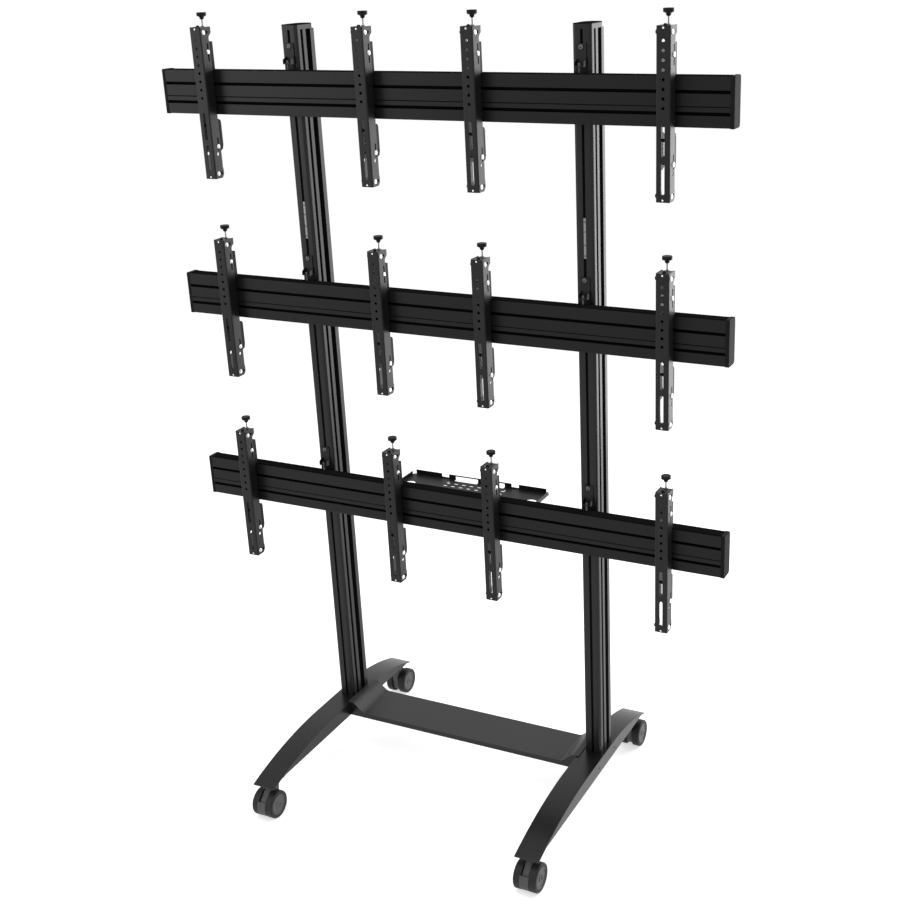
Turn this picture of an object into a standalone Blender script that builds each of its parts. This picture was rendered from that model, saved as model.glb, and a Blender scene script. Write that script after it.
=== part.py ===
# Video wall trolley: two columns on castered legs carry three rails, and each rail carries four screen arms.
# Metres, Z up. The origin is on the floor, midway between the casters. The screens would face -Y.

from math import cos, pi, radians, sin, sqrt

import bmesh
import bpy
from mathutils import Matrix

# Driving dimensions

GAP = 0.0003
JOIN = 0.001
PAST = 0.001

RAIL_TOPS = {"top": 2.4224, "middle": 1.7545, "bottom": 1.0866}
RAIL_HALF_LENGTH = 0.957
RAIL_HEIGHT = 0.137
RAIL_DEPTH = 0.052
RAIL_FRONT = 0.0125
RAIL_CAP = 0.004
RAIL_CAP_LIP = 0.0006
RAIL_CAP_CORNER = 0.006
RAIL_CHAMFER = 0.002
GROOVE_DROPS = (0.042, 0.100)
GROOVE_HEIGHT = 0.009
GROOVE_DEPTH = 0.014
GROOVE_TAPER = 0.001
REAR_SLOT_HEIGHT = 0.012
REAR_SLOT_DEPTH = 0.008
HOOK_GROOVE_FROM = 0.0030
HOOK_GROOVE_WIDTH = 0.0046
HOOK_GROOVE_DEPTH = 0.008

COLUMN_X = 0.492
COLUMN_WIDTH = 0.058
COLUMN_DEPTH = 0.104
COLUMN_CORNER = 0.010
COLUMN_REAR_CORNER = 0.015
COLUMN_CORNER_STEPS = 4
COLUMN_ABOVE_RAILS = 0.133
COLUMN_CAP = 0.0155
T_SLOT_WIDTH = 0.008
T_SLOT_LIP = 0.003
T_SLOT_POCKET = 0.016
T_SLOT_DEPTH = 0.012
SIDE_SLOT = (0.022, 0.034)
SIDE_SLOT_DEPTH = 0.007
CABLE_CHANNEL = (0.051, 0.076)
CABLE_CHANNEL_DEPTH = 0.016
SPLICE_MIDDLE = 1.949
SPLICE_LENGTH = 0.120
SPLICE_RECESS = 0.001

SCREEN_MIDDLE = 0.47625
SCREEN_HOLE_SPAN = 0.5891
ARM_WIDTH = 0.041
ARM_LENGTH = 0.468
ARM_ABOVE_RAIL = 0.132
ARM_REACH = 0.0455
ARM_WALL = 0.0025
ARM_FLANGE = 0.0405
ARM_HOLE = 0.0045
ARM_HOLE_PITCH = 0.0251
ARM_HOLE_COUNT = 8
ARM_FIRST_HOLE = 0.0386
ARM_SLOTS = ((0.260, 0.345), (0.361, 0.447))
ARM_SLOT = 0.005
EAR_DEPTH = 0.0515
EAR_DROP = 0.019
NOTCH = ((0.0405, 0.028), (0.0385, 0.033), (0.0385, 0.040), (0.0405, 0.0445))
FOOT_EAR_DEPTH = 0.0425
FOOT_EAR_HEIGHTS = (0.0104, 0.027, 0.0324)
FOOT_CORNER = 0.0075
TILT_SLOT_DEPTHS = (0.006, 0.037)
TILT_SLOT_DROPS = (0.0165, 0.452)
TILT_SLOT = 0.0045
LIFT_SLOT_DROPS = ((0.048, 0.105), (0.3394, 0.3815))
LIFT_SLOT_DEPTH = 0.0295
LIFT_SLOT = 0.0032
FLANGE_EYE_DROP = 0.391
FLANGE_EYE_DEPTH = 0.0245
FLANGE_EYE = 0.0055
BRIDGE_DROP = 0.001
BRIDGE_THICK = 0.005
BRIDGE_DEPTH = 0.048

BRACKET_GAP = 0.0005
BRACKET_TOP = 0.087
BRACKET_WEB = 0.003
HOOK_DEPTH = 0.0585
HOOK_LIP = 0.003
HOOK_DROP = 0.0055
HOOK_BAR = 0.006
LATCH = ((0.0555, 0.154), (0.059, 0.162), (0.059, 0.233), (0.055, 0.246))
LATCH_DROP = 0.149
BRACKET_FOOT = 0.2527

SPINDLE_DEPTH = 0.0411
SPINDLE_RADIUS = 0.00235
SPINDLE_CLEARANCE = 0.001
SPINDLE_SHOWS = 0.021
KNOB_RADIUS = 0.014
KNOB_NECK = 0.0042
KNOB_UNDER = 0.0133
KNOB_CROWN = 0.0105
KNOB_TAPER = 0.0106
KNOB_DISC = 0.011
KNOB_EDGE = 0.003

CLAMP_PLATE = 0.0035
CLAMP_STANDOFF = 0.0008
CLAMP_HALF_WIDTH = 0.0155
CLAMP_CORNER = 0.003
CLAMP_TOP = 0.079
CLAMP_FOOT = 0.115
CLAMP_SCREW_HEIGHT = 0.069
CLAMP_SCREW_RADIUS = 0.0077
CLAMP_SCREW_HEAD = 0.004
CLAMP_NUT_HEIGHT = 0.021
CLAMP_NUT_DEPTH = 0.009
CLAMP_LEDGE_REACH = 0.018
CLAMP_LEDGE_HEIGHT = 0.0165
CLAMP_CHEEK = 0.003
CLAMP_CHEEK_TOP = 0.040
CLAMP_CHEEK_NOSE = 0.030
LEVEL_BOLT_RADIUS = 0.0033
LEVEL_BOLT_BACK = 0.015
LEVEL_BOLT_TOP = 0.028
LEVEL_BOLT_HEAD_RADIUS = 0.0045
LEVEL_BOLT_HEAD = 0.008

LEG_HALF_WIDTH = 0.042
LEG_SHEET = 0.004
LEG_TOP = 0.186
LEG_BOTTOM = 0.137
LEG_FLAT = (-0.0675, 0.1495)
LEG_FRONT_TIP = (-0.4655, 0.124)
LEG_REAR_TIP = (0.4525, 0.130)
LEG_ARC_STEPS = 9
SEAT_HALF = 0.030

PANEL_SHEET = 0.003
PANEL_FLOOR = 0.155
PANEL_FRONT = 0.0205
PANEL_REAR = 0.1925
PANEL_ON_LEG = 0.009
PANEL_RISE_STOP = 0.006
PANEL_RISE_RUN = 0.056
PANEL_RISE_STEPS = 8

SHELF_HALF_WIDTH = 0.264
SHELF_SHEET = 0.002
SHELF_BELOW_RAIL_TOP = 0.061
SHELF_REACH = 0.202
SHELF_MOUNT_DROP = 0.012
SHELF_MOUNT_INSET = 0.020
SHELF_REAR_LIP = 0.016
SHELF_REAR_LIP_INSET = 0.012
SHELF_SIDE_LIP = 0.012
SHELF_SIDE_LIP_ENDS = (0.015, 0.010)
SHELF_SLOT = (0.017, 0.008)
SHELF_SLOT_PITCH = (0.030, 0.0235)
SHELF_SLOT_COUNTS = (8, 4)
SHELF_SLOTS_FROM_REAR = 0.037
SHELF_WINDOW_X = 0.232
SHELF_WINDOW = 0.019
SHELF_WINDOW_FROM_REAR = (0.064, 0.124)
SHELF_EYE_X = 0.108
SHELF_EYE = 0.004
SHELF_EYE_FROM_REAR = 0.028
STRAP_SLOT = (0.008, 0.095)
STRAP_SLOT_DEPTH = 0.014
STRAP_SLOT_BELOW_LIP = 0.004
LIP_NOTCH = (0.121, 0.149)
LIP_NOTCH_ABOVE_FLOOR = 0.004

CASTER_INSETS = {"front": 0.023, "rear": 0.010}
CASTER_TRAIL = 0.030
CASTER_TOP = 0.122
WHEEL_RADIUS = 0.048
WHEEL_OUTER = 0.0395
WHEEL_INNER = 0.0125
WHEEL_CHAMFER = (0.004, 0.005)
WHEEL_HUB = (0.013, 0.015)
WHEEL_HUB_DEPTH = 0.003
WHEEL_SIDES = 14
AXLE_RADIUS = 0.004
AXLE_CLEARANCE = 0.0005
HOUSING_HALF = 0.0105
HOUSING_RADIUS = 0.041
HOUSING_NECK = 0.020
HOUSING_HOOD_ARC = (118, 228)
HOUSING_HEEL_ARC = (-62, 10)
SWIVEL_RADIUS = 0.025
SWIVEL_PLATE = 0.010
GUARD_INSET = 0.001
GUARD_ROOT = 0.006
GUARD_LIP = 0.003
GUARD_BELOW_AXLE = (0.012, 0.016)
GUARD_ABOVE_AXLE = (0.016, 0.018)

# Values worked out from them

RAIL_REAR = RAIL_FRONT + RAIL_DEPTH
COLUMN_FRONT = RAIL_REAR + CLAMP_STANDOFF + CLAMP_PLATE
COLUMN_REAR = COLUMN_FRONT + COLUMN_DEPTH
COLUMN_TOP = RAIL_TOPS["top"] + COLUMN_ABOVE_RAILS
ARM_INNER_X = SCREEN_MIDDLE - SCREEN_HOLE_SPAN / 2
ARM_OUTER_X = SCREEN_MIDDLE + SCREEN_HOLE_SPAN / 2
ARM_XS = (-ARM_OUTER_X, -ARM_INNER_X, ARM_INNER_X, ARM_OUTER_X)
ARM_FRONT = RAIL_FRONT - ARM_REACH
SPINDLE_Y = ARM_FRONT + SPINDLE_DEPTH
LEG_INNER = COLUMN_X - LEG_HALF_WIDTH
PANEL_RISE_END = LEG_INNER - PANEL_RISE_STOP
PANEL_FLOOR_HALF = PANEL_RISE_END - PANEL_RISE_RUN
SHELF_REAR = RAIL_REAR + SHELF_REACH
WHEEL_YS = {
    "front": LEG_FRONT_TIP[0] + CASTER_INSETS["front"],
    "rear": LEG_REAR_TIP[0] - CASTER_INSETS["rear"],
}
SWIVEL_YS = {"front": WHEEL_YS["front"] + CASTER_TRAIL, "rear": WHEEL_YS["rear"] - CASTER_TRAIL}
SIDES = {"left": -1, "right": 1}


# Materials

def material(name, colour, roughness, metallic=0.0):
    made = bpy.data.materials.new(name)
    made.use_nodes = True
    shader = made.node_tree.nodes["Principled BSDF"]
    shader.inputs["Base Color"].default_value = (*colour, 1)
    shader.inputs["Roughness"].default_value = roughness
    shader.inputs["Metallic"].default_value = metallic
    return made


def make_materials():
    return {
        "extrusion": material("black_anodised_aluminium", (0.035, 0.035, 0.037), 0.42, 0.6),
        "sheet": material("black_powder_coat", (0.030, 0.030, 0.032), 0.55),
        "panel": material("grey_black_powder_coat", (0.045, 0.045, 0.047), 0.6),
        "knob": material("black_plastic_and_steel", (0.02, 0.02, 0.02), 0.5),
        "clamp": material("black_zinc_plate", (0.04, 0.04, 0.042), 0.5, 0.3),
        "housing": material("grey_nylon", (0.16, 0.16, 0.165), 0.55),
        "wheel": material("dark_polyurethane", (0.05, 0.05, 0.052), 0.6),
    }


# Meshes

def prism(points, axis, start, stop):
    """A closed extrusion of an outline: (y, z) along x, (x, z) along y, or (x, y) along z."""
    place = {
        "x": lambda a, b, t: (t, a, b),
        "y": lambda a, b, t: (a, t, b),
        "z": lambda a, b, t: (a, b, t),
    }[axis]
    mesh = bmesh.new()
    near = [mesh.verts.new(place(a, b, start)) for a, b in points]
    far = [mesh.verts.new(place(a, b, stop)) for a, b in points]
    mesh.faces.new(near)
    mesh.faces.new(far)
    for i, corner in enumerate(near):
        after = (i + 1) % len(near)
        mesh.faces.new((corner, near[after], far[after], far[i]))
    bmesh.ops.recalc_face_normals(mesh, faces=mesh.faces)
    return mesh


def box(x0, x1, y0, y1, z0, z1):
    return prism([(x0, y0), (x1, y0), (x1, y1), (x0, y1)], "z", z0, z1)


def ring(radius, sides, centre=(0.0, 0.0), turn=0.5):
    """The corners of a regular outline, with a flat at the bottom when turn is 0.5."""
    steps = [2 * pi * (i + turn) / sides for i in range(sides)]
    return [(centre[0] + radius * cos(a), centre[1] + radius * sin(a)) for a in steps]


def stadium(half_width, low, high, across=0.0, sides=4):
    """A slot outline that runs from low to high along its second coordinate, with round ends."""
    ends = [pi * i / sides for i in range(sides + 1)]
    upper = [(across + half_width * cos(a), high - half_width + half_width * sin(a)) for a in ends]
    lower = [(across - half_width * cos(a), low + half_width - half_width * sin(a)) for a in ends]
    return upper + lower


def turned(profile, sides, axis="z", centre=(0.0, 0.0, 0.0)):
    """A closed solid of revolution. The profile is (radius, height) and starts and ends on the axis."""
    mesh = bmesh.new()
    rows = []
    for radius, height in profile:
        if radius == 0:
            rows.append([mesh.verts.new((0, 0, height))])
            continue
        rows.append([mesh.verts.new((a, b, height)) for a, b in ring(radius, sides)])
    for low, high in zip(rows, rows[1:]):
        for i in range(sides):
            after = (i + 1) % sides
            near = [low[i % len(low)], low[after % len(low)]]
            far = [high[after % len(high)], high[i % len(high)]]
            mesh.faces.new(list(dict.fromkeys(near + far)))
    if axis == "x":
        mesh.transform(Matrix.Rotation(pi / 2, 4, "Y"))
    if axis == "y":
        mesh.transform(Matrix.Rotation(-pi / 2, 4, "X"))
    mesh.transform(Matrix.Translation(centre))
    bmesh.ops.recalc_face_normals(mesh, faces=mesh.faces)
    return mesh


def drum(radius, start, stop, sides, axis, centre=(0.0, 0.0, 0.0)):
    return turned([(0, start), (radius, start), (radius, stop), (0, stop)], sides, axis, centre)


# Objects

def helper_object(name, mesh):
    data = bpy.data.meshes.new(name)
    mesh.to_mesh(data)
    mesh.free()
    made = bpy.data.objects.new(name, data)
    bpy.context.scene.collection.objects.link(made)
    return made


def shaped(name, base, joined=(), cut=()):
    """The base with each joined mesh united to it and each cut mesh taken away, as one plain mesh."""
    body = helper_object(name, base)
    helpers = []
    for operation, meshes in (("UNION", joined), ("DIFFERENCE", cut)):
        for i, mesh in enumerate(meshes):
            helper = helper_object(f"{name}_{operation.lower()}_{i}", mesh)
            change = body.modifiers.new(f"{operation.lower()}_{i}", "BOOLEAN")
            change.operation = operation
            change.solver = "EXACT"
            change.object = helper
            helpers.append(helper)
    bpy.context.view_layer.update()
    graph = bpy.context.evaluated_depsgraph_get()
    data = bpy.data.meshes.new_from_object(body.evaluated_get(graph))
    data.name = name
    for spent in [body, *helpers]:
        bpy.data.objects.remove(spent)
    return data


def placed(name, data, look, location=(0.0, 0.0, 0.0), turn=0.0, smooth=False):
    """A named sub-part from a mesh of its own, with its origin at the given place."""
    own = data.copy()
    own.name = name
    own.materials.clear()
    own.materials.append(look)
    made = bpy.data.objects.new(name, own)
    made.location = location
    made.rotation_euler.z = turn
    bpy.context.scene.collection.objects.link(made)
    if smooth:
        own.shade_smooth()
        own.set_sharp_from_angle(angle=radians(35))
    return made


# Columns

def quarter(steps):
    """Angles from 0 to a right angle."""
    return [pi / 2 * i / steps for i in range(steps + 1)]


def column_corner(r):
    """A rounded rear right corner from its side round to its rear, with y from the rear face."""
    half = COLUMN_WIDTH / 2
    return [(half - r + r * cos(a), -r + r * sin(a)) for a in quarter(COLUMN_CORNER_STEPS)]


def column_outline():
    """Half of the section is listed from the front slot round one side to the rear slot, then mirrored."""
    half = COLUMN_WIDTH / 2
    front = [(x, -y) for x, y in reversed(column_corner(COLUMN_CORNER))]
    rear = [(x, COLUMN_DEPTH + y) for x, y in column_corner(COLUMN_REAR_CORNER)]
    slot = [
        (T_SLOT_POCKET / 2, T_SLOT_DEPTH),
        (T_SLOT_POCKET / 2, T_SLOT_LIP),
        (T_SLOT_WIDTH / 2, T_SLOT_LIP),
        (T_SLOT_WIDTH / 2, 0.0),
    ]
    side = []
    for (start, stop), depth in ((SIDE_SLOT, SIDE_SLOT_DEPTH), (CABLE_CHANNEL, CABLE_CHANNEL_DEPTH)):
        side += [(half, start), (half - depth, start), (half - depth, stop), (half, stop)]
    rear_slot = [(x, COLUMN_DEPTH - y) for x, y in reversed(slot)]
    right = slot + front + side + rear + rear_slot
    left = [(-x, y) for x, y in reversed(right)]
    return [(x, COLUMN_FRONT + y) for x, y in right + left]


def column_cap_outline():
    front = [(x, COLUMN_FRONT - y) for x, y in reversed(column_corner(COLUMN_CORNER))]
    rear = [(x, COLUMN_REAR + y) for x, y in column_corner(COLUMN_REAR_CORNER)]
    right = front + rear
    return right + [(-x, y) for x, y in reversed(right)]


def make_columns(looks):
    half_strip = SPLICE_LENGTH / 2
    cap = prism(column_cap_outline(), "z", COLUMN_TOP - COLUMN_CAP, COLUMN_TOP)
    strip = box(
        -T_SLOT_POCKET / 2 - JOIN,
        T_SLOT_POCKET / 2 + JOIN,
        COLUMN_FRONT + SPLICE_RECESS,
        COLUMN_FRONT + T_SLOT_DEPTH + JOIN,
        SPLICE_MIDDLE - half_strip,
        SPLICE_MIDDLE + half_strip,
    )
    section = prism(column_outline(), "z", LEG_TOP + GAP, COLUMN_TOP - COLUMN_CAP + JOIN)
    data = shaped("column", section, [cap, strip])
    for side, sign in SIDES.items():
        placed(f"column_{side}", data, looks["extrusion"], (sign * COLUMN_X, 0, 0))


# Rails

def slot_corners(edge, inner, drop, outer_half, inner_half):
    """Four corners of a slot that opens at edge, listed downwards."""
    return [
        (edge, -drop + outer_half),
        (inner, -drop + inner_half),
        (inner, -drop - inner_half),
        (edge, -drop - outer_half),
    ]


def rail_outline():
    """The section, clockwise from the top front corner: y from the front face, z from the top."""
    c = RAIL_CHAMFER
    hook_to = HOOK_GROOVE_FROM + HOOK_GROOVE_WIDTH
    points = [
        (0, -c),
        (c, 0),
        (HOOK_GROOVE_FROM, 0),
        (HOOK_GROOVE_FROM, -HOOK_GROOVE_DEPTH),
        (hook_to, -HOOK_GROOVE_DEPTH),
        (hook_to, 0),
        (RAIL_DEPTH - c, 0),
        (RAIL_DEPTH, -c),
    ]
    for drop in GROOVE_DROPS:
        half = REAR_SLOT_HEIGHT / 2
        points += slot_corners(RAIL_DEPTH, RAIL_DEPTH - REAR_SLOT_DEPTH, drop, half, half)
    points += [(RAIL_DEPTH, -RAIL_HEIGHT + c), (RAIL_DEPTH - c, -RAIL_HEIGHT)]
    points += [(c, -RAIL_HEIGHT), (0, -RAIL_HEIGHT + c)]
    for drop in reversed(GROOVE_DROPS):
        half = GROOVE_HEIGHT / 2
        points += reversed(slot_corners(0, GROOVE_DEPTH, drop, half, half - GROOVE_TAPER))
    return [(RAIL_FRONT + y, z) for y, z in points]


def rail_cap_outline():
    r = RAIL_CAP_CORNER
    front = RAIL_FRONT - RAIL_CAP_LIP
    rear = RAIL_REAR + RAIL_CAP_LIP
    low = -RAIL_HEIGHT - RAIL_CAP_LIP
    high = RAIL_CAP_LIP
    corners = ((rear - r, high - r), (front + r, high - r), (front + r, low + r), (rear - r, low + r))
    return [
        (y + r * cos(a + i * pi / 2), z + r * sin(a + i * pi / 2))
        for i, (y, z) in enumerate(corners)
        for a in quarter(2)
    ]


def make_rails(looks):
    inner = RAIL_HALF_LENGTH - RAIL_CAP
    caps = [prism(rail_cap_outline(), "x", inner * s, RAIL_HALF_LENGTH * s) for s in (-1, 1)]
    section = prism(rail_outline(), "x", -inner - JOIN, inner + JOIN)
    data = shaped("rail", section, caps)
    for row, top in RAIL_TOPS.items():
        placed(f"rail_{row}", data, looks["extrusion"], (0, 0, top))


# Clamps that hold the rails on the columns

def clamp_plate_outline():
    half = CLAMP_HALF_WIDTH
    right = [(half, -CLAMP_FOOT), (half, CLAMP_TOP - CLAMP_CORNER), (half - CLAMP_CORNER, CLAMP_TOP)]
    return right + [(-x, z) for x, z in reversed(right)]


def level_bolt(face):
    """The bolt that stands on the rail's top and sets its level."""
    neck = LEVEL_BOLT_TOP - LEVEL_BOLT_HEAD
    profile = [
        (0, GAP),
        (LEVEL_BOLT_RADIUS, GAP),
        (LEVEL_BOLT_RADIUS, neck),
        (LEVEL_BOLT_HEAD_RADIUS, neck),
        (LEVEL_BOLT_HEAD_RADIUS, LEVEL_BOLT_TOP),
        (0, LEVEL_BOLT_TOP),
    ]
    return turned(profile, 6, "z", (0, face - LEVEL_BOLT_BACK, 0))


def make_clamps(looks):
    back = COLUMN_FRONT - GAP
    face = back - CLAMP_PLATE
    root = face + JOIN
    half = CLAMP_HALF_WIDTH
    ledge_front = face - CLAMP_LEDGE_REACH
    ledge_top = CLAMP_LEDGE_HEIGHT + CLAMP_PLATE
    ledge = box(-half, half, ledge_front, root, CLAMP_LEDGE_HEIGHT, ledge_top)
    cheek_outline = [
        (root, CLAMP_CHEEK_TOP),
        (ledge_front, CLAMP_CHEEK_NOSE),
        (ledge_front, CLAMP_LEDGE_HEIGHT),
        (root, CLAMP_LEDGE_HEIGHT),
    ]
    cheeks = [prism(cheek_outline, "x", s * half, s * (half - CLAMP_CHEEK)) for s in (-1, 1)]
    screw = drum(CLAMP_SCREW_RADIUS, -CLAMP_SCREW_HEAD, JOIN, 8, "y", (0, face, CLAMP_SCREW_HEIGHT))
    nut_half = T_SLOT_WIDTH / 2 - GAP
    nut_top = CLAMP_TOP - JOIN
    nut_low = nut_top - CLAMP_NUT_HEIGHT
    nut = box(-nut_half, nut_half, back - JOIN, COLUMN_FRONT + CLAMP_NUT_DEPTH, nut_low, nut_top)
    tongue_half = REAR_SLOT_HEIGHT / 2 - GAP
    tongue_front = RAIL_REAR - REAR_SLOT_DEPTH + GAP
    tongue_side = half - JOIN
    tongues = [
        box(-tongue_side, tongue_side, tongue_front, root, -drop - tongue_half, -drop + tongue_half)
        for drop in GROOVE_DROPS
    ]
    plate = prism(clamp_plate_outline(), "y", face, back)
    data = shaped("clamp", plate, [ledge, *cheeks, level_bolt(face), screw, nut, *tongues])
    for row, top in RAIL_TOPS.items():
        for side, sign in SIDES.items():
            placed(f"clamp_{row}_{side}", data, looks["clamp"], (sign * COLUMN_X, 0, top))


# Arms: a hooked bracket on the rail, a channel that the screen bolts to, and the knob that lifts it

def behind(depth):
    """The y of a point on an arm, from its depth behind the face that a screen bolts to."""
    return ARM_FRONT + depth


def channel_mesh():
    half = ARM_WIDTH / 2
    top = ARM_ABOVE_RAIL
    bottom = top - ARM_LENGTH
    inner = half - ARM_WALL
    section = [
        (-half, behind(EAR_DEPTH)),
        (-half, ARM_FRONT),
        (half, ARM_FRONT),
        (half, behind(EAR_DEPTH)),
        (inner, behind(EAR_DEPTH)),
        (inner, behind(ARM_WALL)),
        (-inner, behind(ARM_WALL)),
        (-inner, behind(EAR_DEPTH)),
    ]
    bridge_top = top - BRIDGE_DROP
    bridge_bottom = bridge_top - BRIDGE_THICK
    overlap = ARM_WALL / 2
    bridge = box(
        -inner - overlap,
        inner + overlap,
        behind(ARM_WALL - overlap),
        behind(BRIDGE_DEPTH),
        bridge_bottom,
        bridge_top,
    )
    through_web = (behind(-PAST), behind(ARM_WALL + overlap))
    across = (-half - PAST, half + PAST)
    cuts = []
    for i in range(ARM_HOLE_COUNT):
        height = top - ARM_FIRST_HOLE - i * ARM_HOLE_PITCH
        cuts.append(prism(ring(ARM_HOLE, 6, (0, height)), "y", *through_web))
    for start, stop in ARM_SLOTS:
        cuts.append(prism(stadium(ARM_SLOT, top - stop, top - start, sides=2), "y", *through_web))
    for drop in TILT_SLOT_DROPS:
        near, far = (behind(depth) for depth in TILT_SLOT_DEPTHS)
        cuts.append(box(*across, near, far, top - drop - TILT_SLOT, top - drop + TILT_SLOT))
    for start, stop in LIFT_SLOT_DROPS:
        near = behind(LIFT_SLOT_DEPTH - LIFT_SLOT)
        far = behind(LIFT_SLOT_DEPTH + LIFT_SLOT)
        cuts.append(box(*across, near, far, top - stop, top - start))
    eye = ring(FLANGE_EYE, 6, (behind(FLANGE_EYE_DEPTH), top - FLANGE_EYE_DROP))
    cuts.append(prism(eye, "x", *across))
    corner_top, ear_low, ear_high = FOOT_EAR_HEIGHTS
    rear = [
        (behind(EAR_DEPTH) + PAST, top - EAR_DROP),
        (behind(EAR_DEPTH), top - EAR_DROP),
        *((behind(depth), top - drop) for depth, drop in NOTCH),
        (behind(ARM_FLANGE), bottom + ear_high),
        (behind(FOOT_EAR_DEPTH), bottom + ear_low),
        (behind(FOOT_EAR_DEPTH), bottom + corner_top),
        (behind(ARM_FLANGE - FOOT_CORNER), bottom - PAST),
        (behind(EAR_DEPTH) + PAST, bottom - PAST),
    ]
    cuts.append(prism(rear, "x", *across))
    spindle_hole = ring(SPINDLE_RADIUS + SPINDLE_CLEARANCE, 6, (0, SPINDLE_Y))
    cuts.append(prism(spindle_hole, "z", bridge_bottom - PAST, bridge_top + PAST))
    return shaped("channel", prism(section, "z", bottom, top), [bridge], cuts)


def bracket_mesh():
    """A folded hook: two side plates, a web against the rail, a bridge on top and a lip in its groove."""
    outer = ARM_WIDTH / 2 - ARM_WALL - GAP
    inner = outer - ARM_WALL
    front = behind(ARM_WALL + BRACKET_GAP)
    against = RAIL_FRONT - GAP
    web = against - BRACKET_WEB
    under = -RAIL_HEIGHT
    lip_from = RAIL_FRONT + HOOK_GROOVE_FROM + (HOOK_GROOVE_WIDTH - HOOK_LIP) / 2
    side = [
        (front, BRACKET_TOP),
        (behind(HOOK_DEPTH), BRACKET_TOP),
        (behind(HOOK_DEPTH), GAP),
        (lip_from + HOOK_LIP, GAP),
        (lip_from + HOOK_LIP, -HOOK_DROP),
        (lip_from, -HOOK_DROP),
        (lip_from, GAP),
        (against, GAP),
        (against, under),
        (behind(ARM_FLANGE), under),
        (behind(ARM_FLANGE), -LATCH_DROP),
        *((behind(depth), -drop) for depth, drop in LATCH),
        (behind(ARM_FLANGE), -BRACKET_FOOT),
        (front, -BRACKET_FOOT),
    ]
    rear = behind(HOOK_DEPTH) + PAST
    ceiling = BRACKET_TOP - BRACKET_WEB
    hollow = [
        (front - PAST, ceiling),
        (rear, ceiling),
        (rear, HOOK_BAR),
        (web, HOOK_BAR),
        (web, under - PAST),
        (rear, under - PAST),
        (rear, -BRACKET_FOOT - PAST),
        (front - PAST, -BRACKET_FOOT - PAST),
    ]
    return shaped("bracket", prism(side, "x", -outer, outer), [], [prism(hollow, "x", -inner, inner)])


def knob_mesh():
    """The spindle stands on the bracket's bridge and runs up through the channel's."""
    start = BRACKET_TOP + GAP
    neck = ARM_ABOVE_RAIL + SPINDLE_SHOWS
    under = neck + KNOB_TAPER
    top = under + KNOB_DISC
    profile = [
        (0, start),
        (SPINDLE_RADIUS, start),
        (SPINDLE_RADIUS, neck),
        (KNOB_NECK, neck),
        (KNOB_UNDER, under),
        (KNOB_RADIUS, top - KNOB_EDGE),
        (KNOB_CROWN, top),
        (0, top),
    ]
    return shaped("knob", turned(profile, 8, "z"))


def make_arms(looks):
    channel = channel_mesh()
    bracket = bracket_mesh()
    knob = knob_mesh()
    for row, top in RAIL_TOPS.items():
        for number, x in enumerate(ARM_XS, 1):
            name = f"arm_{row}_{number}"
            placed(f"{name}_channel", channel, looks["sheet"], (x, 0, top))
            placed(f"{name}_bracket", bracket, looks["clamp"], (x, 0, top))
            placed(f"{name}_knob", knob, looks["knob"], (x, SPINDLE_Y, top), smooth=True)


# Legs

def arc_drop(distance, run, drop):
    """How far a circle that starts level has fallen at a distance, when it falls by drop over run."""
    radius = (run * run + drop * drop) / (2 * drop)
    return radius - sqrt(radius * radius - distance * distance)


def leg_half(tip, flat_end, distances):
    """(y, z) of the leg's top surface at some distances from the end of its flat towards a tip."""
    run = abs(tip[0] - flat_end)
    outwards = 1 if tip[0] > flat_end else -1
    return [(flat_end + outwards * d, LEG_TOP - arc_drop(d, run, LEG_TOP - tip[1])) for d in distances]


def leg_curve():
    """(y, z) of the leg's top surface from the front tip to the rear tip."""
    points = []
    for tip, flat_end in ((LEG_FRONT_TIP, LEG_FLAT[0]), (LEG_REAR_TIP, LEG_FLAT[1])):
        run = abs(tip[0] - flat_end)
        half = leg_half(tip, flat_end, [run * i / LEG_ARC_STEPS for i in range(LEG_ARC_STEPS + 1)])
        points += reversed(half) if tip is LEG_FRONT_TIP else half
    return points


def seat_mesh(tip, flat_end, swivel):
    """The block inside a leg's end that the caster turns in, with its top in the leg's sheet."""
    middle = abs(swivel - flat_end)
    run = abs(tip[0] - flat_end)
    far = min(middle + SEAT_HALF, run - LEG_SHEET)
    near = middle - SEAT_HALF
    top = leg_half(tip, flat_end, [near + (far - near) * i / 4 for i in range(5)])
    floor = CASTER_TOP + GAP
    outline = [(y, z - LEG_SHEET / 2) for y, z in top] + [(top[-1][0], floor), (top[0][0], floor)]
    return prism(outline, "x", -SEAT_HALF, SEAT_HALF)


def leg_mesh():
    top = leg_curve()
    under = [(y, z - LEG_SHEET) for y, z in top]
    wall = [(y, LEG_BOTTOM) for y, z in under if z > LEG_BOTTOM]
    front_sheet = [(y, z) for y, z in under if z <= LEG_BOTTOM and y < 0]
    rear_sheet = [(y, z) for y, z in under if z <= LEG_BOTTOM and y > 0]
    outline = top + list(reversed(rear_sheet)) + [wall[-1], wall[0]] + list(reversed(front_sheet))
    hollow = [(y, z) for y, z in under if z > LEG_BOTTOM]
    below = LEG_BOTTOM - LEG_HALF_WIDTH
    hollow += [(hollow[-1][0], below), (hollow[0][0], below)]
    inside = LEG_HALF_WIDTH - LEG_SHEET
    cutter = prism(hollow, "x", -inside, inside)
    body = prism(outline, "x", -LEG_HALF_WIDTH, LEG_HALF_WIDTH)
    hollowed = shaped("leg_shell", body, [], [cutter])
    shell = bmesh.new()
    shell.from_mesh(hollowed)
    seats = [
        seat_mesh(LEG_FRONT_TIP, LEG_FLAT[0], SWIVEL_YS["front"]),
        seat_mesh(LEG_REAR_TIP, LEG_FLAT[1], SWIVEL_YS["rear"]),
    ]
    return shaped("leg", shell, seats)


def make_legs(looks):
    data = leg_mesh()
    for side, sign in SIDES.items():
        placed(f"leg_{side}", data, looks["sheet"], (sign * COLUMN_X, 0, 0), smooth=True)


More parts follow.
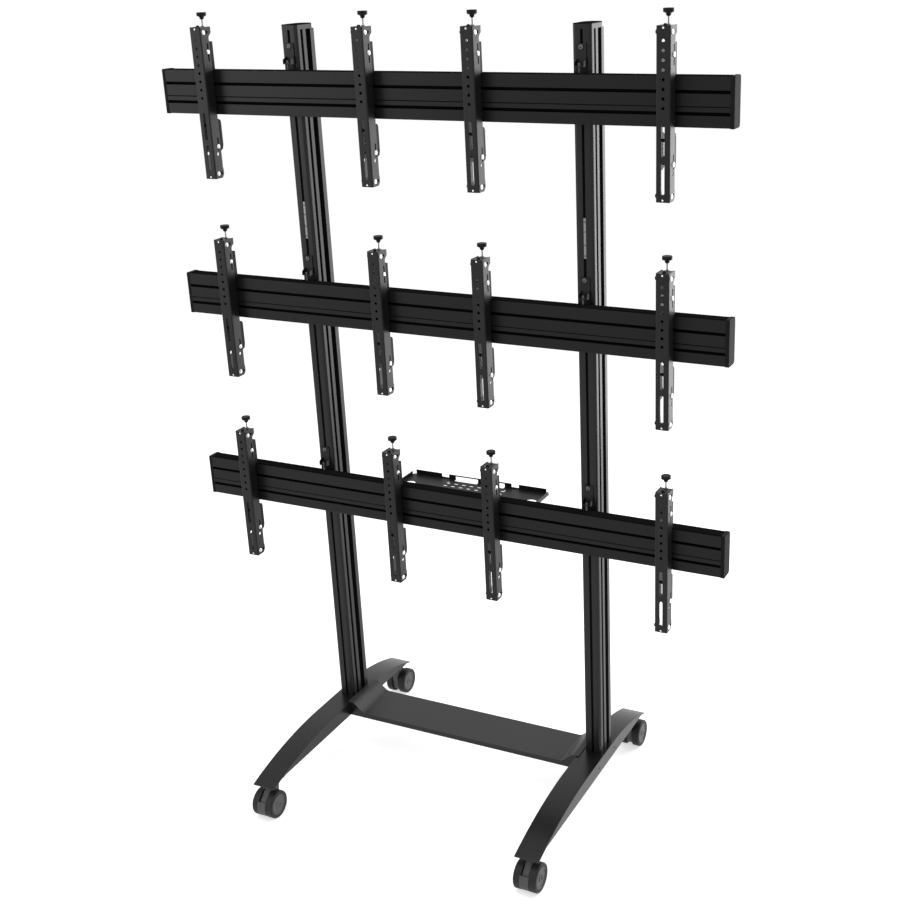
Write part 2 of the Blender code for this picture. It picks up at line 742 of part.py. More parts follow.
# Base panel between the legs

def panel_surface():
    """(x, z) of the panel's top from the middle outwards: flat, an S-shaped rise, and a flange on the leg."""
    flange = LEG_TOP + GAP + PANEL_SHEET
    rise = flange - PANEL_FLOOR
    points = []
    for i in range(PANEL_RISE_STEPS + 1):
        s = i / PANEL_RISE_STEPS
        points.append((PANEL_FLOOR_HALF + PANEL_RISE_RUN * s, PANEL_FLOOR + rise * (1 - cos(pi * s)) / 2))
    return points + [(LEG_INNER + PANEL_ON_LEG, flange)]


def make_panel(looks):
    half = panel_surface()
    top = [(-x, z) for x, z in reversed(half)] + half
    under = [(x, z - PANEL_SHEET) for x, z in top]
    sheet = prism(top + list(reversed(under)), "y", PANEL_FRONT, PANEL_REAR)
    lip_half = LEG_INNER - GAP
    inside = [(x, z) for x, z in top if abs(x) < lip_half]
    edge = inside[-1][1]
    lip = [(-lip_half, edge), *inside, (lip_half, edge), (lip_half, LEG_BOTTOM), (-lip_half, LEG_BOTTOM)]
    front = prism(lip, "y", PANEL_FRONT, PANEL_FRONT + PANEL_SHEET)
    stiffener = box(
        -PANEL_FLOOR_HALF,
        PANEL_FLOOR_HALF,
        PANEL_REAR - PANEL_SHEET,
        PANEL_REAR,
        LEG_BOTTOM,
        PANEL_FLOOR - PANEL_SHEET / 2,
    )
    data = shaped("panel", sheet, [front, stiffener])
    placed("base_panel", data, looks["panel"])


# Shelf for players and cables behind the bottom rail

def span(sign, near, far):
    """A range of x on the left or the right, in rising order."""
    return sorted((sign * near, sign * far))


def shelf_cuts(floor):
    low = floor - SHELF_SHEET - PAST
    over = floor + PAST
    cuts = []
    across, along = SHELF_SLOT_COUNTS
    half_x = SHELF_SLOT[0] / 2
    half_y = SHELF_SLOT[1] / 2
    for i in range(across):
        for j in range(along):
            x = (i - (across - 1) / 2) * SHELF_SLOT_PITCH[0]
            y = SHELF_REAR - SHELF_SLOTS_FROM_REAR - j * SHELF_SLOT_PITCH[1]
            cuts.append(box(x - half_x, x + half_x, y - half_y, y + half_y, low, over))
    window_rear, window_front = (SHELF_REAR - d for d in SHELF_WINDOW_FROM_REAR)
    lip_top = floor + SHELF_REAR_LIP
    behind_lip = SHELF_REAR + PAST
    strap_front = SHELF_REAR - STRAP_SLOT_DEPTH
    strap_top = lip_top - STRAP_SLOT_BELOW_LIP
    notch_front = SHELF_REAR - SHELF_SHEET - PAST
    notch_low = floor + LIP_NOTCH_ABOVE_FLOOR
    for sign in SIDES.values():
        window = stadium(SHELF_WINDOW, window_front, window_rear, sign * SHELF_WINDOW_X)
        cuts.append(prism(window, "z", low, over))
        eye = ring(SHELF_EYE, 8, (sign * SHELF_EYE_X, SHELF_REAR - SHELF_EYE_FROM_REAR))
        cuts.append(prism(eye, "z", low, over))
        cuts.append(box(*span(sign, *STRAP_SLOT), strap_front, behind_lip, low, strap_top))
        cuts.append(box(*span(sign, *LIP_NOTCH), notch_front, behind_lip, notch_low, lip_top + PAST))
    return cuts


def make_shelf(looks):
    floor = -SHELF_BELOW_RAIL_TOP
    front = RAIL_REAR + GAP
    half = SHELF_HALF_WIDTH
    sheet = SHELF_SHEET
    under = floor - sheet
    mount_half = half - SHELF_MOUNT_INSET
    lip_half = half - SHELF_REAR_LIP_INSET
    tray = box(-half, half, front, SHELF_REAR, under, floor)
    mount = box(-mount_half, mount_half, front, front + sheet, under, -SHELF_MOUNT_DROP)
    rear = box(-lip_half, lip_half, SHELF_REAR - sheet, SHELF_REAR, under, floor + SHELF_REAR_LIP)
    side_front = front + SHELF_SIDE_LIP_ENDS[0]
    side_rear = SHELF_REAR - SHELF_SIDE_LIP_ENDS[1]
    side_top = floor + SHELF_SIDE_LIP
    sides = [
        box(*span(sign, half - sheet, half), side_front, side_rear, under, side_top)
        for sign in SIDES.values()
    ]
    data = shaped("shelf", tray, [mount, rear, *sides], shelf_cuts(floor))
    placed("av_shelf", data, looks["sheet"], (0, 0, RAIL_TOPS["bottom"]))


# Casters

def arc(start, stop, steps):
    """Angles in radians from start to stop, which are in degrees."""
    return [radians(start + (stop - start) * i / steps) for i in range(steps + 1)]


def housing_mesh():
    """A web between the wheels, under a round plate. It swivels about z and the wheels are at -Y."""
    wheel_y = -CASTER_TRAIL
    crown = CASTER_TOP - SWIVEL_PLATE + JOIN
    outline = [(HOUSING_NECK, crown), (-HOUSING_NECK, crown)]
    for a in arc(*HOUSING_HOOD_ARC, 5) + arc(*HOUSING_HEEL_ARC, 4):
        outline.append((wheel_y + HOUSING_RADIUS * cos(a), WHEEL_RADIUS + HOUSING_RADIUS * sin(a)))
    web = prism(outline, "x", -HOUSING_HALF, HOUSING_HALF)
    plate = drum(SWIVEL_RADIUS, CASTER_TOP - SWIVEL_PLATE, CASTER_TOP, 12, "z")
    root = wheel_y - HOUSING_RADIUS + GUARD_ROOT
    guard = [
        (wheel_y - WHEEL_RADIUS - GUARD_INSET, WHEEL_RADIUS - GUARD_BELOW_AXLE[0]),
        (root, WHEEL_RADIUS - GUARD_BELOW_AXLE[1]),
        (root, WHEEL_RADIUS + GUARD_ABOVE_AXLE[1]),
        (wheel_y - WHEEL_RADIUS + GUARD_LIP, WHEEL_RADIUS + GUARD_ABOVE_AXLE[0]),
    ]
    guard_half = HOUSING_HALF - GUARD_INSET
    pedal = prism(guard, "x", -guard_half, guard_half)
    bore_ring = ring((AXLE_RADIUS + AXLE_CLEARANCE) / cos(pi / 10), 10, (wheel_y, WHEEL_RADIUS))
    bore = prism(bore_ring, "x", -HOUSING_HALF - PAST, HOUSING_HALF + PAST)
    return shaped("housing", web, [plate, pedal], [bore])


def wheels_mesh():
    """Two wheels on one axle, turned about x. The flats of the rim lie at the wheel's radius."""
    rim = WHEEL_RADIUS / cos(pi / WHEEL_SIDES)
    hub_edge, hub_wall = WHEEL_HUB
    chamfer_in, chamfer_across = WHEEL_CHAMFER
    disc = WHEEL_OUTER - WHEEL_HUB_DEPTH
    half = [
        (AXLE_RADIUS, WHEEL_INNER),
        (rim, WHEEL_INNER),
        (rim, WHEEL_OUTER - chamfer_across),
        (rim - chamfer_in, WHEEL_OUTER),
        (rim - hub_edge, WHEEL_OUTER),
        (rim - hub_wall, disc),
        (0, disc),
    ]
    profile = [(r, -h) for r, h in reversed(half)] + half
    return shaped("wheels", turned(profile, WHEEL_SIDES, "x"))


def make_casters(looks):
    housing = housing_mesh()
    wheels = wheels_mesh()
    for end, wheel_y in WHEEL_YS.items():
        for side, sign in SIDES.items():
            name = f"caster_{end}_{side}"
            turn = pi if end == "rear" else 0
            x = sign * COLUMN_X
            placed(f"{name}_housing", housing, looks["housing"], (x, SWIVEL_YS[end], 0), turn)
            placed(f"{name}_wheels", wheels, looks["wheel"], (x, wheel_y, WHEEL_RADIUS), smooth=True)


# Build

for old in list(bpy.data.objects):
    bpy.data.objects.remove(old)
materials = make_materials()
make_columns(materials)
make_rails(materials)
make_clamps(materials)
make_arms(materials)
make_legs(materials)
make_panel(materials)
make_shelf(materials)
make_casters(materials)
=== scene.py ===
# The looks of the video wall trolley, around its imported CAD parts.
# Metres, Z up. The origin is on the floor, midway between the casters. The screens would face -Y.

from math import atan2, cos, pi, radians, sin, sqrt, tan

import bmesh
import bpy
from mathutils import Matrix, Vector


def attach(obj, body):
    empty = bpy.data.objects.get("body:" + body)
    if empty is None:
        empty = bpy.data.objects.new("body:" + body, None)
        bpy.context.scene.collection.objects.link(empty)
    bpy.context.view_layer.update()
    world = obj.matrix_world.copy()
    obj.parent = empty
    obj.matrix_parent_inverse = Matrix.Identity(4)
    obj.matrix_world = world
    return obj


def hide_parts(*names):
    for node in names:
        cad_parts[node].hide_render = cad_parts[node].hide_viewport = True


# Sizes of the object

RAIL_TOPS = {"top": 2.4224, "middle": 1.7545, "bottom": 1.0866}
RAIL_HALF_LENGTH = 0.957
RAIL_HEIGHT = 0.137
RAIL_DEPTH = 0.052
RAIL_FRONT = 0.0125
RAIL_CAP_LIP = 0.0006
RAIL_CHAMFER = 0.002
RAIL_SLOT_EDGE = 0.0006
RAIL_SKIN = 0.0004
GROOVE_DROPS = (0.042, 0.100)
GROOVE_HEIGHT = 0.009
GROOVE_DEPTH = 0.014
GROOVE_TAPER = 0.001
SCRIBE_DEPTH = 0.0016
SCRIBE_DROP = 0.0815
SCRIBE_HALF = 0.0014
SCRIBE_ROOT_HALF = 0.0009
RAIL_REAR_CORNER = 0.010
RAIL_CAP_SLEEVE = 0.012
RAIL_CAP_PROUD = 0.0014
REAR_SLOT_HEIGHT = 0.012
REAR_SLOT_DEPTH = 0.008
HOOK_GROOVE_FROM = 0.0030
HOOK_GROOVE_WIDTH = 0.0046
HOOK_GROOVE_DEPTH = 0.008
HOOK_GROOVE_EDGE = 0.0005

COLUMN_X = 0.492
COLUMN_WIDTH = 0.058
COLUMN_DEPTH = 0.104
COLUMN_CORNER = 0.010
COLUMN_REAR_CORNER = 0.027
COLUMN_ABOVE_RAILS = 0.133
COLUMN_CAP = 0.0155
COLUMN_LID = 0.002
T_SLOT_WIDTH = 0.008
T_SLOT_LIP = 0.003
T_SLOT_POCKET = 0.016
T_SLOT_DEPTH = 0.012
SIDE_SLOT = (0.022, 0.034)
SIDE_SLOT_DEPTH = 0.007
CABLE_CHANNEL = (0.051, 0.076)
CABLE_CHANNEL_DEPTH = 0.016
SPLICE_MIDDLE = 1.949
SPLICE_LENGTH = 0.120
SPLICE_PLAY = 0.0002
SPLICE_SUNK = 0.0012
SPLICE_SCREWS = (1.998, 1.968, 1.929, 1.897)

SCREEN_MIDDLE = 0.47625
SCREEN_HOLE_SPAN = 0.5891
ARM_WIDTH = 0.041
ARM_LENGTH = 0.468
ARM_ABOVE_RAIL = 0.132
ARM_REACH = 0.0455
ARM_WALL = 0.0025
ARM_FOLD = 0.004
ARM_FLANGE = 0.0405
ARM_HOLE = 0.0045
ARM_HOLE_PITCH = 0.0251
ARM_HOLE_COUNT = 8
ARM_FIRST_HOLE = 0.0386
ARM_SLOTS = ((0.260, 0.345), (0.361, 0.447))
ARM_SLOT = 0.005
EAR_DEPTH = 0.0515
EAR_DROP = 0.019
NOTCH = ((0.0405, 0.028), (0.0385, 0.033), (0.0385, 0.040), (0.0405, 0.0445))
FOOT_EAR_DEPTH = 0.0425
FOOT_EAR_HEIGHTS = (0.0104, 0.027, 0.0324)
FOOT_CORNER = 0.0075
TILT_SLOT_DEPTHS = (0.006, 0.037)
TILT_SLOT_DROPS = (0.0165, 0.452)
TILT_SLOT = 0.0045
LIFT_SLOT_DROPS = ((0.048, 0.105), (0.3394, 0.3815))
LIFT_SLOT_DEPTH = 0.0295
LIFT_SLOT = 0.0032
FLANGE_EYE_DROP = 0.391
FLANGE_EYE_DEPTH = 0.0245
FLANGE_EYE = 0.0055
BRIDGE_DROP = 0.001
BRIDGE_THICK = 0.005
BRIDGE_DEPTH = 0.048
BRACKET_GAP = 0.0005
BRACKET_TOP = 0.087
BRACKET_WEB = 0.003
HOOK_DEPTH = 0.0585
HOOK_LIP = 0.003
HOOK_DROP = 0.0055
HOOK_BAR = 0.006
LATCH = ((0.0555, 0.154), (0.059, 0.162), (0.059, 0.233), (0.055, 0.246))
LATCH_DROP = 0.149
BRACKET_FOOT = 0.2527

SPINDLE_DEPTH = 0.0411
SPINDLE_RADIUS = 0.00235
SPINDLE_CLEARANCE = 0.001
SPINDLE_SHOWS = 0.021
THREAD_PITCH = 0.0016
THREAD_DEPTH = 0.0004
KNOB_CORE = 0.0012
KNOB_TAPER = 0.0106
KNOB_DISC = 0.011
# Radius, height above the neck, corner radius
KNOB_HUB = ((0.0032, 0, 0.0008), (0.0064, 0.0028, 0.002), (0.0072, 0.0078, 0.001))
# Radius, depth below the top, corner radius
KNOB_GRIP = ((0.0126, 0.0112, 0.001), (0.0148, 0.0100, 0.0012), (0.0148, 0, 0.0014))

CLAMP_PLATE = 0.0035
CLAMP_STANDOFF = 0.0008
CLAMP_HALF_WIDTH = 0.0155
CLAMP_TOP = 0.079
CLAMP_FOOT = 0.115
CLAMP_SCREW_HEIGHT = 0.069
CLAMP_SCREW_RADIUS = 0.0077
CLAMP_SCREW_HEAD = 0.004
CLAMP_SCREW_RIM = 0.0012
CLAMP_SCREW_FLAT = 0.0048
CLAMP_SCREW_SOCKET = 0.0032
CLAMP_NUT_HEIGHT = 0.021
CLAMP_NUT_DEPTH = 0.009
CLAMP_LEDGE_REACH = 0.018
CLAMP_LEDGE_HEIGHT = 0.0165
CLAMP_CHEEK = 0.003
CLAMP_CHEEK_TOP = 0.040
CLAMP_CHEEK_NOSE = 0.030
LEVEL_BOLT_RADIUS = 0.0033
LEVEL_BOLT_BACK = 0.015
LEVEL_BOLT_TOP = 0.028
LEVEL_BOLT_HEAD_RADIUS = 0.0045
LEVEL_BOLT_HEAD = 0.008
LEVEL_BOLT_PITCH = 0.001
LEVEL_BOLT_HEAD_DROP = 0.0006
LEVEL_BOLT_CROWN = (0.00378, 0.0008)
LEVEL_BOLT_CROWN_DROP = 0.0007

LEG_HALF_WIDTH = 0.042
LEG_SHEET = 0.004
LEG_TOP = 0.186
LEG_BOTTOM = 0.137
LEG_FLAT = {"front": -0.0675, "rear": 0.1495}
LEG_TIPS = {"front": (-0.4655, 0.124), "rear": (0.4525, 0.130)}
LEG_ARC_STEPS = 36
SEAT_HALF = 0.030
LEG_SCREW_YS = (0.023, 0.161)
LEG_SCREW_Z = 0.158

PANEL_SHEET = 0.003
PANEL_FLOOR = 0.155
PANEL_FRONT = 0.0205
PANEL_REAR = 0.1925
PANEL_ON_LEG = 0.009
PANEL_RISE_STOP = 0.006
PANEL_RISE_RUN = 0.056
PANEL_RISE_STEPS = 24

SHELF_HALF_WIDTH = 0.264
SHELF_SHEET = 0.002
SHELF_BELOW_RAIL_TOP = 0.061
SHELF_REACH = 0.202
SHELF_CORNER = 0.008
SHELF_MOUNT_DROP = 0.012
SHELF_MOUNT_INSET = 0.020
SHELF_REAR_LIP = 0.016
SHELF_REAR_LIP_INSET = 0.012
SHELF_SIDE_LIP = 0.012
SHELF_SIDE_LIP_ENDS = (0.015, 0.010)
SHELF_SLOT = (0.017, 0.008)
SHELF_SLOT_PITCH = (0.030, 0.0235)
SHELF_SLOT_COUNTS = (8, 4)
SHELF_SLOTS_FROM_REAR = 0.037
SHELF_WINDOW_X = 0.232
SHELF_WINDOW = 0.019
SHELF_WINDOW_FROM_REAR = (0.064, 0.124)
SHELF_EYE_X = 0.108
SHELF_EYE = 0.004
SHELF_EYE_FROM_REAR = 0.028
STRAP_SLOT = (0.008, 0.095)
STRAP_SLOT_DEPTH = 0.014
STRAP_SLOT_BELOW_LIP = 0.004
LIP_NOTCH = (0.121, 0.149)
LIP_NOTCH_ABOVE_FLOOR = 0.004

CASTER_INSETS = {"front": 0.023, "rear": 0.010}
CASTER_TRAIL = 0.030
CASTER_TOP = 0.122
WHEEL_RADIUS = 0.048
WHEEL_OUTER = 0.0395
WHEEL_INNER = 0.0125
AXLE_RADIUS = 0.004
# Radius, inset from the wheel's outer face, corner radius
TYRE_STEPS = ((WHEEL_RADIUS, 0, 0.0055), (0.0358, 0, 0.001), (0.0350, 0.003, 0), (0.030, 0.003, 0))
DISC_STEPS = (
    (0.0352, 0.0008, 0.0008),
    (0.0320, 0.0008, 0.0008),
    (0.0305, 0.0030, 0.001),
    (0.0140, 0.0030, 0.001),
    (0.0130, 0.0012, 0.0008),
    (0.0085, 0.0012, 0.0008),
    (0.0078, 0.0030, 0.0005),
)
HOUSING_HALF = 0.0105
HOUSING_RADIUS = 0.041
HOUSING_NECK = 0.020
HOUSING_HOOD_ARC = (118, 228)
HOUSING_HEEL_ARC = (-62, 10)
SWIVEL_RADIUS = 0.025
SWIVEL_PLATE = 0.010
GUARD_INSET = 0.001
GUARD_ROOT = 0.006
GUARD_LIP = 0.003
GUARD_BELOW_AXLE = (0.012, 0.016)
GUARD_ABOVE_AXLE = (0.016, 0.018)

# Room between pieces, overlap of pieces that join, and how far a cut runs past a face

GAP = 0.0003
JOIN = 0.001
PAST = 0.001

# Radii of corners

FINE = 0.0008
SMALL = 0.001
MEDIUM = 0.002
LARGE = 0.003
BROAD = 0.004

# Sizes of the fasteners and trim that only the looks show. A head is its radius and height.

BOLT_HEAD = (0.0076, 0.0042)
BOLT_SHANK = 0.0038
LEG_SCREW = (0.0036, 0.0012)
LEG_SCREW_SUNK = 0.0001
# Radius and depth behind its face
SET_SCREW = (
    (0, 0.0022), (0.0014, 0.0022), (0.0016, 0), (0.0028, 0), (0.0030, 0.0004), (0.0030, 0.003), (0, 0.003)
)
SET_SCREW_SUNK = 0.0006
SHIELD_RADII = (0.0484, 0.0492)
SHIELD_ARC = (150, 212)
SHIELD_HALF = 0.0155
TILT_BOLT_DEPTH = 0.0145
LIFT_BOLTS = ((0.028, 0.0565), (0.028, -0.235))
FACE_SCREWS = (0.126, -0.330)
FACE_SCREW = (0.0028, 0.0012)
DOME_NUT = (0.0058, 0.0062)
TILT_NUT = (0.0060, 0.0052)
TILT_PLATE = 0.0012
TILT_PLATE_HALF = 0.0072
TILT_PLATE_DEPTHS = (0.004, 0.040)
SPINDLE_NUT = (0.0062, 0.0032)
DOME_NUT_DEPTH = 0.016
LATCH_PIN = 0.0045
LATCH_PIN_DEPTH = 0.012
LATCH_PIN_DROP = 0.168
LATCH_STRIP_HALF = 0.0045
LATCH_STRIP_DEPTHS = (0.010, 0.012)
LATCH_STRIP_DROPS = (0.173, 0.215)

# Finishes and meshes

GLOSS_RANGE = 0.04
BUMP_DEPTH = 0.0004
NOISE_DETAIL = 3
DOME_RIM = 0.22
STRAIGHT = 6
CORNER_SHARE = 0.47
FACING = 0.5
WELD = 0.00001

# Flat facets around a round piece

HEXAGON = 6
SPINDLE_FACETS = 16
SMALL_FACETS = 20
HEAD_FACETS = 32
PLATE_FACETS = 40
GRIP_FACETS = 48
WHEEL_FACETS = 72

# Studio

WORLD_LIGHT = 0.5
FLOOR_LIFT = 0.55
FLOOR = (-14, 14, -10, 16, -0.02, 0)
# Name, place, target, size and watts
LAMPS = (
    ("key", (1.9, 2.6, 1.9), (0, 0, 1.4), (2.2, 3.6), 90),
    ("fill", (-3.6, -3.4, 2.6), (0, 0, 1.4), (2.5, 3.0), 56),
    ("top", (0.0, -0.5, 5.5), (0, 0, 0), (5.0, 5.0), 100),
)
CAMERA_PLACE = (2.0383, -3.5329, 2.7683)
CAMERA_TURNS = (("Z", 25.867), ("X", -20.528), ("Y", 1.8485))
CAMERA_SENSOR = 36
CAMERA_LENS = 53.748
CAMERA_SHIFT = (-0.0891, -0.0040)
CAMERA_SEES_TO = 60

# Values worked out from them

RAIL_REAR = RAIL_FRONT + RAIL_DEPTH
COLUMN_FRONT = RAIL_REAR + CLAMP_STANDOFF + CLAMP_PLATE
COLUMN_REAR = COLUMN_FRONT + COLUMN_DEPTH
COLUMN_TOP = RAIL_TOPS["top"] + COLUMN_ABOVE_RAILS
ARM_XS = [x + sign * SCREEN_HOLE_SPAN / 2 for x in (-SCREEN_MIDDLE, SCREEN_MIDDLE) for sign in (-1, 1)]
ARM_FRONT = RAIL_FRONT - ARM_REACH
ARM_HALF = ARM_WIDTH / 2
SPINDLE_Y = ARM_FRONT + SPINDLE_DEPTH
BRACKET_HALF = ARM_HALF - ARM_WALL - GAP
BRACKET_INNER = BRACKET_HALF - ARM_WALL
LEG_INNER = COLUMN_X - LEG_HALF_WIDTH
PANEL_RISE_END = LEG_INNER - PANEL_RISE_STOP
PANEL_FLOOR_HALF = PANEL_RISE_END - PANEL_RISE_RUN
SHELF_REAR = RAIL_REAR + SHELF_REACH
SIDES = {"left": -1, "right": 1}
ENDS = {"front": -1, "rear": 1}
WHEEL_YS = {end: LEG_TIPS[end][0] - sign * CASTER_INSETS[end] for end, sign in ENDS.items()}
SWIVEL_YS = {end: WHEEL_YS[end] - sign * CASTER_TRAIL for end, sign in ENDS.items()}
LEG_RUNS = {end: abs(LEG_TIPS[end][0] - LEG_FLAT[end]) for end in ENDS}


# Finishes

def shader_node(tree, kind, **values):
    """A new shader node, with some of its inputs set."""
    made = tree.nodes.new(f"ShaderNode{kind}")
    for name, value in values.items():
        made.inputs[name.replace("_", " ")].default_value = value
    return made


def finish(
    name, colour, roughness, specular=0.5, metallic=0.0, grain=0.08, size=700, relief=0.03, stretch=(1, 1, 1)
):
    """A finish whose tone and gloss vary a little over a fine grain, with a slight relief."""
    made = bpy.data.materials.new(name)
    made.use_nodes = True
    tree = made.node_tree
    link = tree.links.new
    shader = tree.nodes["Principled BSDF"]
    shader.inputs["Metallic"].default_value = metallic
    shader.inputs["Specular IOR Level"].default_value = specular
    mapping = shader_node(tree, "Mapping", Scale=stretch)
    link(shader_node(tree, "TexCoord").outputs["Object"], mapping.inputs["Vector"])
    noise = shader_node(tree, "TexNoise", Scale=size, Detail=NOISE_DETAIL)
    link(mapping.outputs["Vector"], noise.inputs["Vector"])
    tone = shader_node(tree, "Mix")
    tone.data_type = "RGBA"
    tone.inputs[6].default_value = (*(c * (1 - grain) for c in colour), 1)
    tone.inputs[7].default_value = (*(c * (1 + grain) for c in colour), 1)
    link(noise.outputs["Fac"], tone.inputs[0])
    link(tone.outputs[2], shader.inputs["Base Color"])
    gloss = shader_node(tree, "MapRange", To_Min=roughness - GLOSS_RANGE, To_Max=roughness + GLOSS_RANGE)
    link(noise.outputs["Fac"], gloss.inputs["Value"])
    link(gloss.outputs["Result"], shader.inputs["Roughness"])
    bump = shader_node(tree, "Bump", Strength=relief, Distance=BUMP_DEPTH)
    link(noise.outputs["Fac"], bump.inputs["Height"])
    link(bump.outputs["Normal"], shader.inputs["Normal"])
    return made


def make_finishes():
    """Every finish, by the short name that the pieces use. The extrusions' grain runs along them."""
    along_x = {"size": 60, "stretch": (0.5, 30, 30)}
    along_z = {"size": 60, "stretch": (30, 30, 0.5)}
    return {
        "rail": finish("anodised_rail", (0.009, 0.009, 0.010), 0.34, 0.15, **along_x),
        # Painted shade: a darker, duller finish for the rails' tops and groove insides and the columns' lids.
        "painted_shade": finish("dull_painted_shade", (0.008, 0.008, 0.0085), 0.75, 0.0, **along_x),
        "column": finish("anodised_column", (0.012, 0.012, 0.013), 0.32, 0.22, **along_z),
        "arm": finish("powder_coat_arm", (0.011, 0.011, 0.012), 0.38, 0.2),
        # Painted shade: the bracket is darker and duller than the arm, as it is seen in shade through the
        # channel's holes.
        "bracket": finish("shaded_powder_coat_bracket", (0.006, 0.006, 0.007), 0.50, 0.1),
        "leg": finish("powder_coat_leg", (0.006, 0.006, 0.0065), 0.28, 0.3),
        "panel": finish("powder_coat_panel", (0.028, 0.028, 0.030), 0.46, 0.25),
        "shelf": finish("powder_coat_shelf", (0.008, 0.008, 0.009), 0.45, 0.2),
        "clamp": finish("powder_coat_clamp", (0.010, 0.010, 0.011), 0.42, 0.2),
        "screw": finish("dark_zinc", (0.10, 0.10, 0.105), 0.38, metallic=0.8, grain=0.05, size=250),
        "cap": finish("moulded_cap", (0.012, 0.012, 0.012), 0.65, 0.05, relief=0.06),
        "knob": finish("moulded_knob", (0.005, 0.005, 0.005), 0.50, 0.12, relief=0.05),
        "thread": finish("plated_thread", (0.22, 0.22, 0.225), 0.4, metallic=0.8),
        "zinc": finish("bright_zinc", (0.72, 0.73, 0.75), 0.30, metallic=1.0, grain=0.05, size=250),
        "hood": finish("grey_nylon", (0.075, 0.075, 0.078), 0.5, 0.3, relief=0.06),
        "disc": finish("wheel_disc_nylon", (0.075, 0.075, 0.078), 0.42, 0.3, relief=0.05),
        "tyre": finish("polyurethane_tyre", (0.012, 0.012, 0.013), 0.55, 0.25, relief=0.08),
    }


# Outlines

def ring(radius, facets=SMALL_FACETS, centre=(0, 0)):
    """A regular polygon, with the middle of a side at angle zero."""
    angles = [2 * pi * (i + 0.5) / facets for i in range(facets)]
    return [(centre[0] + radius * cos(a), centre[1] + radius * sin(a)) for a in angles]


def stadium(half_width, low, high, across=0.0, steps=10):
    """A slot outline that runs from low to high along its second coordinate, with round ends."""
    ends = [pi * i / steps for i in range(steps + 1)]
    upper = [(across + half_width * cos(a), high - half_width + half_width * sin(a)) for a in ends]
    lower = [(across - half_width * cos(a), low + half_width - half_width * sin(a)) for a in ends]
    return upper + lower


def lying(half_width, near, far, level, steps=10):
    """The same slot outline along its first coordinate."""
    return [(a, b) for b, a in stadium(half_width, near, far, level, steps)]


def mirrored(points):
    """The points, and then their images on the other side in reverse order."""
    return points + [(-x, *rest) for x, *rest in reversed(points)]


def rounded(points, steps):
    """An outline with rounded corners. A corner gives its radius as a third value, or stays sharp."""
    result = []
    count = len(points)
    for i, point in enumerate(points):
        radius = point[2] if len(point) > 2 else 0
        here = Vector(point[:2])
        before = Vector(points[i - 1][:2]) - here
        after = Vector(points[(i + 1) % count][:2]) - here
        angle = before.angle(after)
        if radius == 0 or pi - angle < radians(STRAIGHT):
            result.append(tuple(here))
            continue
        reach = min(radius / tan(angle / 2), CORNER_SHARE * before.length, CORNER_SHARE * after.length)
        size = reach * tan(angle / 2)
        towards = (before.normalized() + after.normalized()).normalized()
        centre = here + towards * (size / sin(angle / 2))
        start = here + before.normalized() * reach - centre
        end = here + after.normalized() * reach - centre
        first = atan2(start.y, start.x)
        sweep = (atan2(end.y, end.x) - first + pi) % (2 * pi) - pi
        for k in range(steps + 1):
            a = first + sweep * k / steps
            result.append((centre.x + size * cos(a), centre.y + size * sin(a)))
    return result


# Meshes

def prism(points, axis, start, stop):
    """A closed extrusion of an outline: (y, z) along x, (x, z) along y, or (x, y) along z."""
    corner = {
        "x": lambda a, b, t: (t, a, b),
        "y": lambda a, b, t: (a, t, b),
        "z": lambda a, b, t: (a, b, t),
    }[axis]
    mesh = bmesh.new()
    near = [mesh.verts.new(corner(a, b, start)) for a, b in points]
    far = [mesh.verts.new(corner(a, b, stop)) for a, b in points]
    mesh.faces.new(near)
    mesh.faces.new(far)
    for i in range(len(near)):
        after = (i + 1) % len(near)
        mesh.faces.new((near[i], near[after], far[after], far[i]))
    bmesh.ops.recalc_face_normals(mesh, faces=mesh.faces)
    return mesh


def box(x0, x1, y0, y1, z0, z1):
    """A block between two values on each axis."""
    return prism([(x0, y0), (x1, y0), (x1, y1), (x0, y1)], "z", z0, z1)


def turned(profile, facets, axis="z", centre=(0, 0, 0)):
    """A solid of revolution. The profile is (radius, height), and an end off the axis is left open."""
    mesh = bmesh.new()
    rows = []
    for radius, height in profile:
        if radius == 0:
            rows.append([mesh.verts.new((0, 0, height))])
            continue
        rows.append([mesh.verts.new((a, b, height)) for a, b in ring(radius, facets)])
    for low, high in zip(rows, rows[1:]):
        for i in range(facets):
            after = (i + 1) % facets
            near = [low[i % len(low)], low[after % len(low)]]
            far = [high[after % len(high)], high[i % len(high)]]
            mesh.faces.new(list(dict.fromkeys(near + far)))
    if axis == "x":
        mesh.transform(Matrix.Rotation(pi / 2, 4, "Y"))
    if axis == "y":
        mesh.transform(Matrix.Rotation(-pi / 2, 4, "X"))
    mesh.transform(Matrix.Translation(centre))
    bmesh.ops.recalc_face_normals(mesh, faces=mesh.faces)
    return mesh


def drum(radius, start, stop, axis, centre=(0, 0, 0), facets=SMALL_FACETS):
    """A closed cylinder from start to stop along an axis."""
    return turned([(0, start), (radius, start), (radius, stop), (0, stop)], facets, axis, centre)


def dome(radius, height, axis, outwards, centre, steps=7, facets=28):
    """A mushroom head that rises from a face at the centre given, away from it along the axis."""
    rim = height * DOME_RIM
    profile = [(0, 0), (radius, 0), (radius, rim)]
    for i in range(1, steps + 1):
        a = pi / 2 * i / steps
        profile.append((radius * cos(a) if i < steps else 0, rim + (height - rim) * sin(a)))
    return turned([(r, outwards * h) for r, h in profile], facets, axis, centre)


def thread_profile(radius, start, stop, pitch):
    """The zigzag of a thread in a turned profile, from start up to less than a pitch below stop."""
    points = []
    height = start
    while height < stop - pitch:
        points += [(radius - THREAD_DEPTH, height), (radius, height + pitch / 2)]
        height += pitch
    return points


def arc(start, stop, steps):
    """Angles in radians from start to stop, which are in degrees."""
    return [radians(start + (stop - start) * i / steps) for i in range(steps + 1)]


def span(sign, near, far):
    """A range of x on the left or the right, in rising order."""
    return sorted((sign * near, sign * far))


